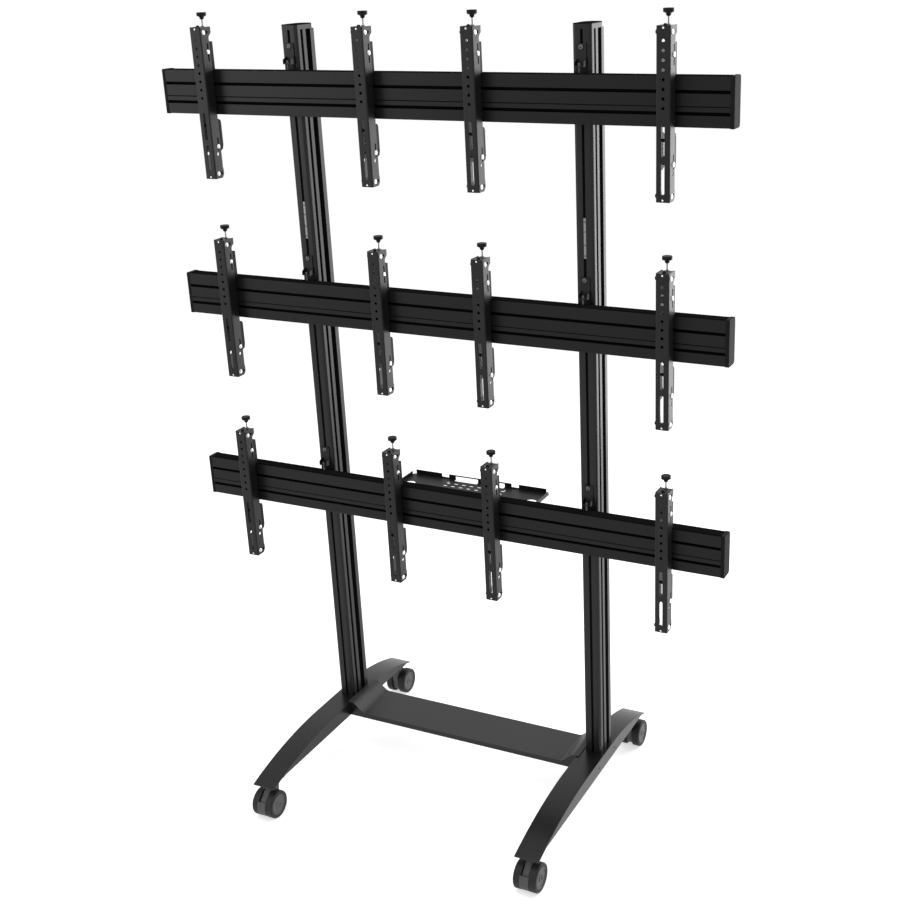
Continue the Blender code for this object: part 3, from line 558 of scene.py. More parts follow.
def stored(name, mesh):
    """The mesh as data that an object can show."""
    data = bpy.data.meshes.new(name)
    mesh.to_mesh(data)
    mesh.free()
    return data


def together(meshes):
    """Several closed shells in one mesh, with no Boolean."""
    whole = bmesh.new()
    for mesh in meshes:
        data = stored("shell", mesh)
        whole.from_mesh(data)
        bpy.data.meshes.remove(data)
    return whole


def linked(name, data):
    """A new object in the scene."""
    made = bpy.data.objects.new(name, data)
    bpy.context.scene.collection.objects.link(made)
    return made


def shaped(name, base, joined=(), cut=(), edge=0.0, angle=32):
    """The base with meshes united to it and cut from it, its sharp edges eased, as one smooth shaded mesh."""
    body = linked(name, stored(name, base))
    helpers = []
    for operation, meshes in (("UNION", joined), ("DIFFERENCE", cut)):
        for i, mesh in enumerate(meshes):
            own_name = f"{name}_{operation.lower()}_{i}"
            helpers.append(linked(own_name, stored(own_name, mesh)))
            change = body.modifiers.new(own_name, "BOOLEAN")
            change.operation = operation
            change.solver = "EXACT"
            change.object = helpers[-1]
    if edge:
        ease = body.modifiers.new("ease", "BEVEL")
        ease.width = edge
        ease.segments = 2
        ease.limit_method = "ANGLE"
        ease.angle_limit = radians(angle)
    bpy.context.view_layer.update()
    graph = bpy.context.evaluated_depsgraph_get()
    data = bpy.data.meshes.new_from_object(body.evaluated_get(graph))
    data.name = name
    for spent in [body, *helpers]:
        bpy.data.objects.remove(spent)
    data.shade_smooth()
    data.set_sharp_from_angle(angle=radians(angle))
    return data


def shade(data, look, other, where):
    """Gives the faces for which where(centre, normal) holds another finish, which in this script is a darker
    one that paints shade.
    """
    data.materials.append(looks[look])
    data.materials.append(looks[other])
    for face in data.polygons:
        face.material_index = 1 if where(face.center, face.normal) else 0


def place(name, pieces, body, at, node, turn=0.0):
    """Pieces that move with a CAD body, each a name, a mesh and a finish. The first stands for the node."""
    for number, (own_name, data, look) in enumerate(pieces):
        if not data.materials:
            data.materials.append(looks[look])
        made = linked(f"{name}_{own_name}", data)
        made.location = at
        made.rotation_euler.z = turn
        weigh = made.modifiers.new("weigh", "WEIGHTED_NORMAL")
        weigh.keep_sharp = True
        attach(made, body)
        if number == 0:
            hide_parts(node)


# Columns

def column_outline():
    """The section: one half is listed, from the front slot round to the rear slot, and mirrored."""
    half = COLUMN_WIDTH / 2
    slot = [
        (T_SLOT_POCKET / 2, T_SLOT_DEPTH, SMALL),
        (T_SLOT_POCKET / 2, T_SLOT_LIP),
        (T_SLOT_WIDTH / 2, T_SLOT_LIP),
        (T_SLOT_WIDTH / 2, 0, FINE),
    ]
    side = []
    for (start, stop), depth in ((SIDE_SLOT, SIDE_SLOT_DEPTH), (CABLE_CHANNEL, CABLE_CHANNEL_DEPTH)):
        root = half - depth
        side += [(half, start, FINE), (root, start), (root, stop), (half, stop, FINE)]
    rear_slot = [(x, COLUMN_DEPTH - y, *rest) for x, y, *rest in reversed(slot)]
    right = [*slot, (half, 0, COLUMN_CORNER), *side, (half, COLUMN_DEPTH, COLUMN_REAR_CORNER), *rear_slot]
    return rounded([(x, COLUMN_FRONT + y, *rest) for x, y, *rest in mirrored(right)], 6)


def splice_meshes():
    """The strip in the front slot that joins a column's two lengths, and its set screws."""
    half = T_SLOT_WIDTH / 2 - SPLICE_PLAY
    front = COLUMN_FRONT + SPLICE_SUNK
    low = SPLICE_MIDDLE - SPLICE_LENGTH / 2
    strip = box(-half, half, front, COLUMN_FRONT + T_SLOT_DEPTH, low, SPLICE_MIDDLE + SPLICE_LENGTH / 2)
    face = COLUMN_FRONT + SET_SCREW_SUNK
    screws = [turned(SET_SCREW, SMALL_FACETS, "y", (0, face, height)) for height in SPLICE_SCREWS]
    return shaped("splice_strip", strip, edge=0.0004), shaped("splice_screws", together(screws))


def make_columns():
    """Both columns, each with its cap under a thin lid and the splice in its front slot."""
    half = COLUMN_WIDTH / 2
    high = COLUMN_TOP - COLUMN_CAP
    seam = COLUMN_TOP - COLUMN_LID
    cap_outline = rounded([
        (-half, COLUMN_FRONT, COLUMN_CORNER),
        (half, COLUMN_FRONT, COLUMN_CORNER),
        (half, COLUMN_REAR, COLUMN_REAR_CORNER),
        (-half, COLUMN_REAR, COLUMN_REAR_CORNER),
    ], 8)
    strip, screws = splice_meshes()
    pieces = (
        ("profile", shaped("column_profile", prism(column_outline(), "z", LEG_TOP + GAP, high)), "column"),
        ("cap", shaped("column_cap", prism(cap_outline, "z", high, seam)), "column"),
        # Painted shade: the lid on top of the cap takes the darker, duller finish.
        ("lid", shaped("column_lid", prism(cap_outline, "z", seam, COLUMN_TOP), edge=0.0008), "painted_shade"),
        ("splice", strip, "thread"),
        ("splice_screws", screws, "screw"),
    )
    for side, sign in SIDES.items():
        name = f"column_{side}"
        place(name, pieces, "base", (sign * COLUMN_X, 0, 0), name)


# Rails

def slot_corners(edge, inner, drop, outer_half, inner_half):
    """Four corners of a slot that opens at edge, listed downwards."""
    return [
        (edge, -drop + outer_half, RAIL_SLOT_EDGE),
        (inner, -drop + inner_half, FINE),
        (inner, -drop - inner_half, FINE),
        (edge, -drop - outer_half, RAIL_SLOT_EDGE),
    ]


def rail_outline():
    """The section, clockwise from the top front corner: y from the front face, z from the top."""
    hook_to = HOOK_GROOVE_FROM + HOOK_GROOVE_WIDTH
    points = [
        (0, 0, RAIL_CHAMFER),
        (HOOK_GROOVE_FROM, 0),
        (HOOK_GROOVE_FROM, -HOOK_GROOVE_DEPTH),
        (hook_to, -HOOK_GROOVE_DEPTH),
        (hook_to, 0, HOOK_GROOVE_EDGE),
        (RAIL_DEPTH, 0, RAIL_REAR_CORNER),
    ]
    for drop in GROOVE_DROPS:
        half = REAR_SLOT_HEIGHT / 2
        points += slot_corners(RAIL_DEPTH, RAIL_DEPTH - REAR_SLOT_DEPTH, drop, half, half)
    points += [(RAIL_DEPTH, -RAIL_HEIGHT, RAIL_REAR_CORNER), (0, -RAIL_HEIGHT, RAIL_CHAMFER)]
    half = GROOVE_HEIGHT / 2
    upper, lower = GROOVE_DROPS
    front = [
        *slot_corners(0, GROOVE_DEPTH, upper, half, half - GROOVE_TAPER),
        *slot_corners(0, SCRIBE_DEPTH, SCRIBE_DROP, SCRIBE_HALF, SCRIBE_ROOT_HALF),
        *slot_corners(0, GROOVE_DEPTH, lower, half, half - GROOVE_TAPER),
    ]
    return rounded([(RAIL_FRONT + y, z, *rest) for y, z, *rest in points + front[::-1]], 4)


def shaded_top_or_groove(at, facing):
    """The rail's top faces and the insides of its slots and grooves, which get a darker, duller finish as
    painted shade.
    """
    return facing.z > FACING or at.y > RAIL_FRONT + RAIL_SKIN and abs(facing.x) < FACING


def make_rails():
    """The three rails, with a cap like a sleeve over each end."""
    inner = RAIL_HALF_LENGTH - RAIL_CAP_SLEEVE
    profile = shaped("rail_profile", prism(rail_outline(), "x", -inner, inner))
    # Painted shade: the rail's top faces and the insides of its slots and grooves get the darker, duller
    # finish.
    shade(profile, "rail", "painted_shade", shaded_top_or_groove)
    front = RAIL_FRONT - RAIL_CAP_LIP
    rear = RAIL_REAR + RAIL_CAP_LIP
    low = -RAIL_HEIGHT - RAIL_CAP_PROUD
    outline = rounded([
        (rear, RAIL_CAP_PROUD, RAIL_REAR_CORNER),
        (front, RAIL_CAP_PROUD, LARGE),
        (front, low, LARGE),
        (rear, low, RAIL_REAR_CORNER),
    ], 8)
    pieces = [("profile", profile, "rail")]
    for side, sign in SIDES.items():
        sleeve = prism(outline, "x", sign * inner, sign * RAIL_HALF_LENGTH)
        pieces.append((f"cap_{side}", shaped(f"rail_cap_{side}", sleeve, edge=0.0008), "cap"))
    for row, top in RAIL_TOPS.items():
        name = f"rail_{row}"
        place(name, pieces, f"{name}_set", (0, 0, top), name)


# Clamps that hold the rails on the columns

def clamp_plate_mesh(face, back):
    """The plate with its ledge, two cheeks, the nut in the column's slot and the tongues in the rail's."""
    root = face + JOIN
    half = CLAMP_HALF_WIDTH
    plate = prism(rounded(mirrored([(half, -CLAMP_FOOT), (half, CLAMP_TOP, LARGE)]), 6), "y", face, back)
    ledge_front = face - CLAMP_LEDGE_REACH
    ledge = box(-half, half, ledge_front, root, CLAMP_LEDGE_HEIGHT, CLAMP_LEDGE_HEIGHT + CLAMP_PLATE)
    cheek_outline = rounded([
        (root, CLAMP_CHEEK_TOP),
        (ledge_front, CLAMP_CHEEK_NOSE, BROAD),
        (ledge_front, CLAMP_LEDGE_HEIGHT, SMALL),
        (root, CLAMP_LEDGE_HEIGHT),
    ], 4)
    cheeks = [prism(cheek_outline, "x", s * half, s * (half - CLAMP_CHEEK)) for s in (-1, 1)]
    nut_half = T_SLOT_WIDTH / 2 - GAP
    nut_top = CLAMP_TOP - JOIN
    nut_low = nut_top - CLAMP_NUT_HEIGHT
    nut = box(-nut_half, nut_half, back - JOIN, COLUMN_FRONT + CLAMP_NUT_DEPTH, nut_low, nut_top)
    tongue_half = REAR_SLOT_HEIGHT / 2 - GAP
    tongue_front = RAIL_REAR - REAR_SLOT_DEPTH + GAP
    side = half - JOIN
    tongues = [
        box(-side, side, tongue_front, root, -drop - tongue_half, -drop + tongue_half)
        for drop in GROOVE_DROPS
    ]
    return shaped("clamp_plate", plate, [ledge, *cheeks, nut, *tongues], edge=0.0005)


def clamp_screw_mesh(face, steps=6):
    """A button head with a hexagonal socket."""
    tall = CLAMP_SCREW_HEAD - CLAMP_SCREW_RIM
    wide = CLAMP_SCREW_RADIUS - CLAMP_SCREW_FLAT
    profile = [(0, 0), (CLAMP_SCREW_RADIUS, 0), (CLAMP_SCREW_RADIUS, -CLAMP_SCREW_RIM)]
    for i in range(1, steps):
        a = pi / 2 * i / steps
        profile.append((CLAMP_SCREW_FLAT + wide * cos(a), -CLAMP_SCREW_RIM - tall * sin(a)))
    profile += [(CLAMP_SCREW_FLAT, -CLAMP_SCREW_HEAD), (0, -CLAMP_SCREW_HEAD)]
    head = turned(profile, HEAD_FACETS, "y", (0, face, CLAMP_SCREW_HEIGHT))
    hexagon = ring(CLAMP_SCREW_SOCKET, HEXAGON, (0, CLAMP_SCREW_HEIGHT))
    socket = prism(hexagon, "y", face - CLAMP_SCREW_HEAD - PAST, face - CLAMP_SCREW_RIM)
    return shaped("clamp_screw", head, cut=[socket], edge=0.0002)


def level_bolt_mesh(face):
    """The bolt on the ledge that sets the rail's height."""
    y = face - LEVEL_BOLT_BACK
    neck = LEVEL_BOLT_TOP - LEVEL_BOLT_HEAD
    thread = thread_profile(LEVEL_BOLT_RADIUS, GAP, neck, LEVEL_BOLT_PITCH)
    profile = [(0, GAP), *thread, (LEVEL_BOLT_RADIUS - THREAD_DEPTH, neck), (0, neck)]
    shank = turned(profile, SMALL_FACETS, "z", (0, y, 0))
    outline = ring(LEVEL_BOLT_HEAD_RADIUS, HEXAGON, (0, y))
    hexagon = prism(outline, "z", neck, LEVEL_BOLT_TOP - LEVEL_BOLT_HEAD_DROP)
    crown = dome(*LEVEL_BOLT_CROWN, "z", 1, (0, y, LEVEL_BOLT_TOP - LEVEL_BOLT_CROWN_DROP))
    return shaped("level_bolt", together([shank, hexagon, crown]))


def make_clamps():
    """A clamp for each rail on each column."""
    back = COLUMN_FRONT - GAP
    face = back - CLAMP_PLATE
    pieces = (
        ("plate", clamp_plate_mesh(face, back), "clamp"),
        ("screw", clamp_screw_mesh(face), "screw"),
        ("level_bolt", level_bolt_mesh(face), "screw"),
    )
    for row, top in RAIL_TOPS.items():
        for side, sign in SIDES.items():
            name = f"clamp_{row}_{side}"
            place(name, pieces, f"rail_{row}_set", (sign * COLUMN_X, 0, top), name)


# Arms: a hooked bracket on the rail, a channel that the screen bolts to, and the knob that lifts it

def behind(depth):
    """The y of a point on an arm, from its depth behind the face that a screen bolts to."""
    return ARM_FRONT + depth


def channel_mesh():
    """The channel with its holes, slots and notched flanges, and the bridge for the spindle."""
    half = ARM_HALF
    top = ARM_ABOVE_RAIL
    bottom = top - ARM_LENGTH
    inner = half - ARM_WALL
    inner_fold = ARM_FOLD - ARM_WALL
    rear = behind(EAR_DEPTH)
    outside = mirrored([(-half, rear), (-half, ARM_FRONT, ARM_FOLD)])
    inside = mirrored([(inner, rear), (inner, behind(ARM_WALL), inner_fold)])
    section = rounded(outside + inside, 6)
    bridge_top = top - BRIDGE_DROP
    bridge_bottom = bridge_top - BRIDGE_THICK
    overlap = ARM_WALL / 2
    side = inner + overlap
    bridge = box(-side, side, behind(ARM_WALL - overlap), behind(BRIDGE_DEPTH), bridge_bottom, bridge_top)
    heights = [top - ARM_FIRST_HOLE - i * ARM_HOLE_PITCH for i in range(ARM_HOLE_COUNT)]
    in_web = [ring(ARM_HOLE, centre=(0, height)) for height in heights]
    in_web += [stadium(ARM_SLOT, top - stop, top - start) for start, stop in ARM_SLOTS]
    near, far = (behind(depth) for depth in TILT_SLOT_DEPTHS)
    in_flanges = [lying(TILT_SLOT, near, far, top - drop) for drop in TILT_SLOT_DROPS]
    y = behind(LIFT_SLOT_DEPTH)
    in_flanges += [stadium(LIFT_SLOT, top - stop, top - start, y) for start, stop in LIFT_SLOT_DROPS]
    in_flanges.append(ring(FLANGE_EYE, centre=(behind(FLANGE_EYE_DEPTH), top - FLANGE_EYE_DROP)))
    corner_top, ear_low, ear_high = FOOT_EAR_HEIGHTS
    in_flanges.append(rounded([
        (rear + PAST, top - EAR_DROP),
        (rear, top - EAR_DROP),
        *((behind(depth), top - drop, LARGE) for depth, drop in NOTCH),
        (behind(ARM_FLANGE), bottom + ear_high, LARGE),
        (behind(FOOT_EAR_DEPTH), bottom + ear_low, LARGE),
        (behind(FOOT_EAR_DEPTH), bottom + corner_top, LARGE),
        (behind(ARM_FLANGE - FOOT_CORNER), bottom - PAST),
        (rear + PAST, bottom - PAST),
    ], 4))
    cuts = [prism(outline, "y", behind(-PAST), behind(ARM_WALL + ARM_FOLD)) for outline in in_web]
    cuts += [prism(outline, "x", -half - PAST, half + PAST) for outline in in_flanges]
    spindle_hole = ring(SPINDLE_RADIUS + SPINDLE_CLEARANCE, centre=(0, SPINDLE_Y))
    cuts.append(prism(spindle_hole, "z", bridge_bottom - PAST, bridge_top + PAST))
    return shaped("channel", prism(section, "z", bottom, top), [bridge], cuts, edge=0.0005)


def channel_fasteners():
    """Silver bolts in the horizontal slots and screws in the face, and the bolts' black nuts and plates."""
    bolts = []
    nuts = []
    y = behind(TILT_BOLT_DEPTH)
    inner = ARM_HALF - ARM_WALL
    near, far = (behind(depth) for depth in TILT_PLATE_DEPTHS)
    nut_radius, nut_height = TILT_NUT
    for drop in TILT_SLOT_DROPS:
        z = ARM_ABOVE_RAIL - drop
        bolts.append(drum(BOLT_SHANK, -ARM_HALF, ARM_HALF, "x", (0, y, z)))
        bolts.append(dome(*BOLT_HEAD, "x", 1, (ARM_HALF, y, z)))
        nuts.append(prism(ring(nut_radius, HEXAGON, (y, z)), "x", -ARM_HALF, -ARM_HALF - nut_height))
        for sign in (-1, 1):
            sides = span(sign, inner - TILT_PLATE, inner)
            nuts.append(box(*sides, near, far, z - TILT_PLATE_HALF, z + TILT_PLATE_HALF))
    for z in FACE_SCREWS:
        bolts.append(dome(*FACE_SCREW, "y", -1, (0, ARM_FRONT, z), 4, SMALL_FACETS))
    bolts_data = shaped("channel_bolts", together(bolts), angle=50)
    return bolts_data, shaped("channel_nuts", together(nuts), edge=0.0004, angle=50)


def bracket_bolts():
    """The same heads over the upright slots, past which the channel slides, and the strip of the latch."""
    shells = []
    for depth, height in LIFT_BOLTS:
        shells.append(drum(BOLT_SHANK, -ARM_HALF, ARM_HALF, "x", (0, behind(depth), height)))
        for sign in (-1, 1):
            shells.append(dome(*BOLT_HEAD, "x", sign, (sign * ARM_HALF, behind(depth), height)))
    near, far = (behind(depth) for depth in LATCH_STRIP_DEPTHS)
    upper, lower = LATCH_STRIP_DROPS
    shells.append(box(-LATCH_STRIP_HALF, LATCH_STRIP_HALF, near, far, -lower, -upper))
    return shaped("bracket_bolts", together(shells), angle=50)


def bracket_mesh():
    """A folded hook: two side plates, a web against the rail, a bridge on top and a lip in its groove."""
    front = behind(ARM_WALL + BRACKET_GAP)
    against = RAIL_FRONT - GAP
    web = against - BRACKET_WEB
    under = -RAIL_HEIGHT
    lip_from = RAIL_FRONT + HOOK_GROOVE_FROM + (HOOK_GROOVE_WIDTH - HOOK_LIP) / 2
    side = rounded([
        (front, BRACKET_TOP),
        (behind(HOOK_DEPTH), BRACKET_TOP, MEDIUM),
        (behind(HOOK_DEPTH), GAP, SMALL),
        (lip_from + HOOK_LIP, GAP),
        (lip_from + HOOK_LIP, -HOOK_DROP, FINE),
        (lip_from, -HOOK_DROP, FINE),
        (lip_from, GAP),
        (against, GAP),
        (against, under),
        (behind(ARM_FLANGE), under),
        (behind(ARM_FLANGE), -LATCH_DROP, MEDIUM),
        *((behind(depth), -drop, BROAD) for depth, drop in LATCH),
        (behind(ARM_FLANGE), -BRACKET_FOOT, SMALL),
        (front, -BRACKET_FOOT),
    ], 4)
    rear = behind(HOOK_DEPTH) + PAST
    ceiling = BRACKET_TOP - BRACKET_WEB
    hollow = [
        (front - PAST, ceiling),
        (rear, ceiling),
        (rear, HOOK_BAR),
        (web, HOOK_BAR),
        (web, under - PAST),
        (rear, under - PAST),
        (rear, -BRACKET_FOOT - PAST),
        (front - PAST, -BRACKET_FOOT - PAST),
    ]
    fold = prism(side, "x", -BRACKET_HALF, BRACKET_HALF)
    return shaped("bracket", fold, cut=[prism(hollow, "x", -BRACKET_INNER, BRACKET_INNER)], edge=0.0005)


def latch_pin_mesh():
    """The pin of the safety latch, between the bracket's side plates."""
    half = BRACKET_INNER + JOIN
    centre = (0, behind(LATCH_PIN_DEPTH), -LATCH_PIN_DROP)
    return shaped("latch_pin", drum(LATCH_PIN, -half, half, "x", centre))


def knob_pieces():
    """The moulded grip, and the threaded spindle that stands on the bracket's bridge."""
    start = BRACKET_TOP + GAP
    neck = ARM_ABOVE_RAIL + SPINDLE_SHOWS
    top = neck + KNOB_TAPER + KNOB_DISC
    grip = rounded([
        (KNOB_CORE, neck),
        *((radius, neck + height, corner) for radius, height, corner in KNOB_HUB),
        *((radius, top - depth, corner) for radius, depth, corner in KNOB_GRIP),
        (KNOB_CORE, top),
    ], 5)
    profile = [(0, neck), *grip[1:-1], (0, top)]
    thread = thread_profile(SPINDLE_RADIUS, start, neck, THREAD_PITCH)
    foot = neck + JOIN
    spindle = [(0, start), *thread, (SPINDLE_RADIUS - THREAD_DEPTH, foot), (0, foot)]
    return (
        ("knob_grip", shaped("knob_grip", turned(profile, GRIP_FACETS), angle=60), "knob"),
        ("knob_spindle", shaped("knob_spindle", turned(spindle, SPINDLE_FACETS), angle=60), "thread"),
    )


def spindle_nut_mesh(low):
    """The hexagon nut that the spindle runs through."""
    radius, height = SPINDLE_NUT
    high = low + height
    centre = (0, SPINDLE_Y)
    bore = ring(SPINDLE_RADIUS + SPINDLE_CLEARANCE / 2, centre=centre)
    body = prism(ring(radius, HEXAGON, centre), "z", low, high)
    return shaped("spindle_nut", body, cut=[prism(bore, "z", low - PAST, high + PAST)], edge=0.0004)


def make_arms():
    """The twelve arms: what rides on the channel, what rides on the bracket, and the knob."""
    bridge_top = ARM_ABOVE_RAIL - BRIDGE_DROP
    dome_nut = dome(*DOME_NUT, "z", 1, (0, behind(DOME_NUT_DEPTH), bridge_top))
    bolts, nuts = channel_fasteners()
    lifted = (
        ("channel_skin", channel_mesh(), "arm"),
        ("channel_bolts", bolts, "zinc"),
        ("channel_nuts", nuts, "knob"),
        ("spindle_nut", spindle_nut_mesh(bridge_top), "thread"),
        ("dome_nut", shaped("dome_nut", dome_nut), "knob"),
    )
    hooked = (
        ("bracket_skin", bracket_mesh(), "bracket"),
        ("latch_pin", latch_pin_mesh(), "cap"),
        ("bracket_bolts", bracket_bolts(), "zinc"),
    )
    turning = knob_pieces()
    for row, top in RAIL_TOPS.items():
        for number, x in enumerate(ARM_XS, 1):
            name = f"arm_{row}_{number}"
            at = (x, 0, top)
            place(name, lifted, f"{name}_lift", at, f"{name}_channel")
            place(name, hooked, f"{name}_hook", at, f"{name}_bracket")
            place(name, turning, f"{name}_screw", (x, SPINDLE_Y, top), f"{name}_knob")


# Legs

def arc_drop(distance, run, drop):
    """How far a circle that starts level has fallen at a distance, when it falls by drop over run."""
    radius = (run * run + drop * drop) / (2 * drop)
    return radius - sqrt(radius * radius - distance * distance)


def leg_half(end, near, far, steps):
    """(y, z) of the leg's top surface between two distances from its flat, towards the front or the rear."""
    fall = LEG_TOP - LEG_TIPS[end][1]
    distances = [near + (far - near) * i / steps for i in range(steps + 1)]
    return [(LEG_FLAT[end] + ENDS[end] * d, LEG_TOP - arc_drop(d, LEG_RUNS[end], fall)) for d in distances]


def seat_mesh(end):
    """The block inside a leg's end that the caster turns in, with its top in the leg's sheet."""
    middle = abs(SWIVEL_YS[end] - LEG_FLAT[end])
    far = min(middle + SEAT_HALF, LEG_RUNS[end] - LEG_SHEET)
    top = leg_half(end, middle - SEAT_HALF, far, 4)
    floor = CASTER_TOP + GAP
    outline = [(y, z - LEG_SHEET / 2) for y, z in top] + [(top[-1][0], floor), (top[0][0], floor)]
    return prism(outline, "x", -SEAT_HALF, SEAT_HALF)


def leg_meshes():
    """The arched sheet with its two sides, open underneath, and the seats in its ends."""
    front, rear = (leg_half(end, 0, LEG_RUNS[end], LEG_ARC_STEPS) for end in ENDS)
    top = [*reversed(front), *rear]
    under = [(y, z - LEG_SHEET) for y, z in top]
    roof = [(y, z) for y, z in under if z > LEG_BOTTOM]
    start, stop = roof[0][0], roof[-1][0]
    before = [(y, z) for y, z in under if y < start]
    after = [(y, z) for y, z in under if y > stop]
    lower = [*before, (start, LEG_BOTTOM), (stop, LEG_BOTTOM), *after]
    body = prism(top + lower[::-1], "x", -LEG_HALF_WIDTH, LEG_HALF_WIDTH)
    below = LEG_BOTTOM - LEG_HALF_WIDTH
    inside = LEG_HALF_WIDTH - LEG_SHEET
    hollow = prism([*roof, (stop, below), (start, below)], "x", -inside, inside)
    seats = together([seat_mesh(end) for end in ENDS])
    return shaped("leg_shell", body, cut=[hollow], edge=0.0014), shaped("leg_seats", seats)


def make_legs():
    """Both legs, with the heads of two screws on each side."""
    shell, seats = leg_meshes()
    screws = []
    for y in LEG_SCREW_YS:
        for sign in (-1, 1):
            face = (sign * (LEG_HALF_WIDTH - LEG_SCREW_SUNK), y, LEG_SCREW_Z)
            screws.append(dome(*LEG_SCREW, "x", sign, face, 5, 24))
    pieces = (
        ("shell", shell, "leg"),
        ("seats", seats, "cap"),
        ("screws", shaped("leg_screws", together(screws), angle=50), "knob"),
    )
    for side, sign in SIDES.items():
        name = f"leg_{side}"
        place(name, pieces, "base", (sign * COLUMN_X, 0, 0), name)


# Base panel between the legs

def panel_surface():
    """(x, z) of the panel's top from the middle outwards: flat, an S-shaped rise, and a flange on the leg."""
    flange = LEG_TOP + GAP + PANEL_SHEET
    rise = flange - PANEL_FLOOR
    points = []
    for i in range(PANEL_RISE_STEPS + 1):
        s = i / PANEL_RISE_STEPS
        points.append((PANEL_FLOOR_HALF + PANEL_RISE_RUN * s, PANEL_FLOOR + rise * (1 - cos(pi * s)) / 2))
    return points + [(LEG_INNER + PANEL_ON_LEG, flange)]


def make_panel():
    """The folded panel between the legs, whose front gets the legs' darker finish as painted shade."""
    half = panel_surface()
    top = [(-x, z) for x, z in reversed(half)] + half
    under = [(x, z - PANEL_SHEET) for x, z in top]
    sheet = prism(top + under[::-1], "y", PANEL_FRONT, PANEL_REAR)
    lip_half = LEG_INNER - GAP
    inside = [(x, z) for x, z in top if abs(x) < lip_half]
    edge = inside[-1][1]
    lip = [(-lip_half, edge), *inside, (lip_half, edge), (lip_half, LEG_BOTTOM), (-lip_half, LEG_BOTTOM)]
    front = prism(lip, "y", PANEL_FRONT, PANEL_FRONT + PANEL_SHEET)
    half_floor = PANEL_FLOOR_HALF
    lip_top = PANEL_FLOOR - PANEL_SHEET / 2
    stiffener = box(-half_floor, half_floor, PANEL_REAR - PANEL_SHEET, PANEL_REAR, LEG_BOTTOM, lip_top)
    data = shaped("panel", sheet, [front, stiffener], edge=0.0009)
    # Painted shade: the panel's front faces get the darker finish of the legs.
    shade(data, "panel", "leg", lambda at, facing: facing.y < -FACING)
    place("base_panel", [("skin", data, "panel")], "base", (0, 0, 0), "base_panel")


# Shelf for players and cables behind the bottom rail

def shelf_cuts(floor):
    """The rows of slots, and on each side a window, an eye, a strap slot and a notch in the rear lip."""
    low = floor - SHELF_SHEET - PAST
    over = floor + PAST
    cuts = []
    across, along = SHELF_SLOT_COUNTS
    half_x, half_y = (size / 2 for size in SHELF_SLOT)
    for i in range(across):
        for j in range(along):
            x = (i - (across - 1) / 2) * SHELF_SLOT_PITCH[0]
            y = SHELF_REAR - SHELF_SLOTS_FROM_REAR - j * SHELF_SLOT_PITCH[1]
            cuts.append(prism(lying(half_y, x - half_x, x + half_x, y, 6), "z", low, over))
    window_rear, window_front = (SHELF_REAR - d for d in SHELF_WINDOW_FROM_REAR)
    lip_top = floor + SHELF_REAR_LIP
    behind_lip = SHELF_REAR + PAST
    strap_front = SHELF_REAR - STRAP_SLOT_DEPTH
    strap_top = lip_top - STRAP_SLOT_BELOW_LIP
    notch_front = SHELF_REAR - SHELF_SHEET - PAST
    notch_low = floor + LIP_NOTCH_ABOVE_FLOOR
    for sign in SIDES.values():
        window = stadium(SHELF_WINDOW, window_front, window_rear, sign * SHELF_WINDOW_X, 14)
        cuts.append(prism(window, "z", low, over))
        eye = ring(SHELF_EYE, centre=(sign * SHELF_EYE_X, SHELF_REAR - SHELF_EYE_FROM_REAR))
        cuts.append(prism(eye, "z", low, over))
        cuts.append(box(*span(sign, *STRAP_SLOT), strap_front, behind_lip, low, strap_top))
        cuts.append(box(*span(sign, *LIP_NOTCH), notch_front, behind_lip, notch_low, lip_top + PAST))
    return cuts


def make_shelf():
    """The tray, its lips on four sides and its cuts. Its heights are from the top of the rail."""
    floor = -SHELF_BELOW_RAIL_TOP
    front = RAIL_REAR + GAP
    half = SHELF_HALF_WIDTH
    sheet = SHELF_SHEET
    under = floor - sheet
    mount_half = half - SHELF_MOUNT_INSET
    lip_half = half - SHELF_REAR_LIP_INSET
    rear_corners = [(half, SHELF_REAR, SHELF_CORNER), (-half, SHELF_REAR, SHELF_CORNER)]
    tray = prism(rounded([(-half, front), (half, front), *rear_corners], 6), "z", under, floor)
    mount = box(-mount_half, mount_half, front, front + sheet, under, -SHELF_MOUNT_DROP)
    rear = box(-lip_half, lip_half, SHELF_REAR - sheet, SHELF_REAR, under, floor + SHELF_REAR_LIP)
    side_front = front + SHELF_SIDE_LIP_ENDS[0]
    side_rear = SHELF_REAR - SHELF_SIDE_LIP_ENDS[1]
    side_top = floor + SHELF_SIDE_LIP
    sides = [box(*span(sign, half - sheet, half), side_front, side_rear, under, side_top) for sign in (-1, 1)]
    data = shaped("shelf", tray, [mount, rear, *sides], shelf_cuts(floor), edge=0.0004)
    at = (0, 0, RAIL_TOPS["bottom"])
    place("av_shelf", [("skin", data, "shelf")], "rail_bottom_set", at, "av_shelf")


# Casters

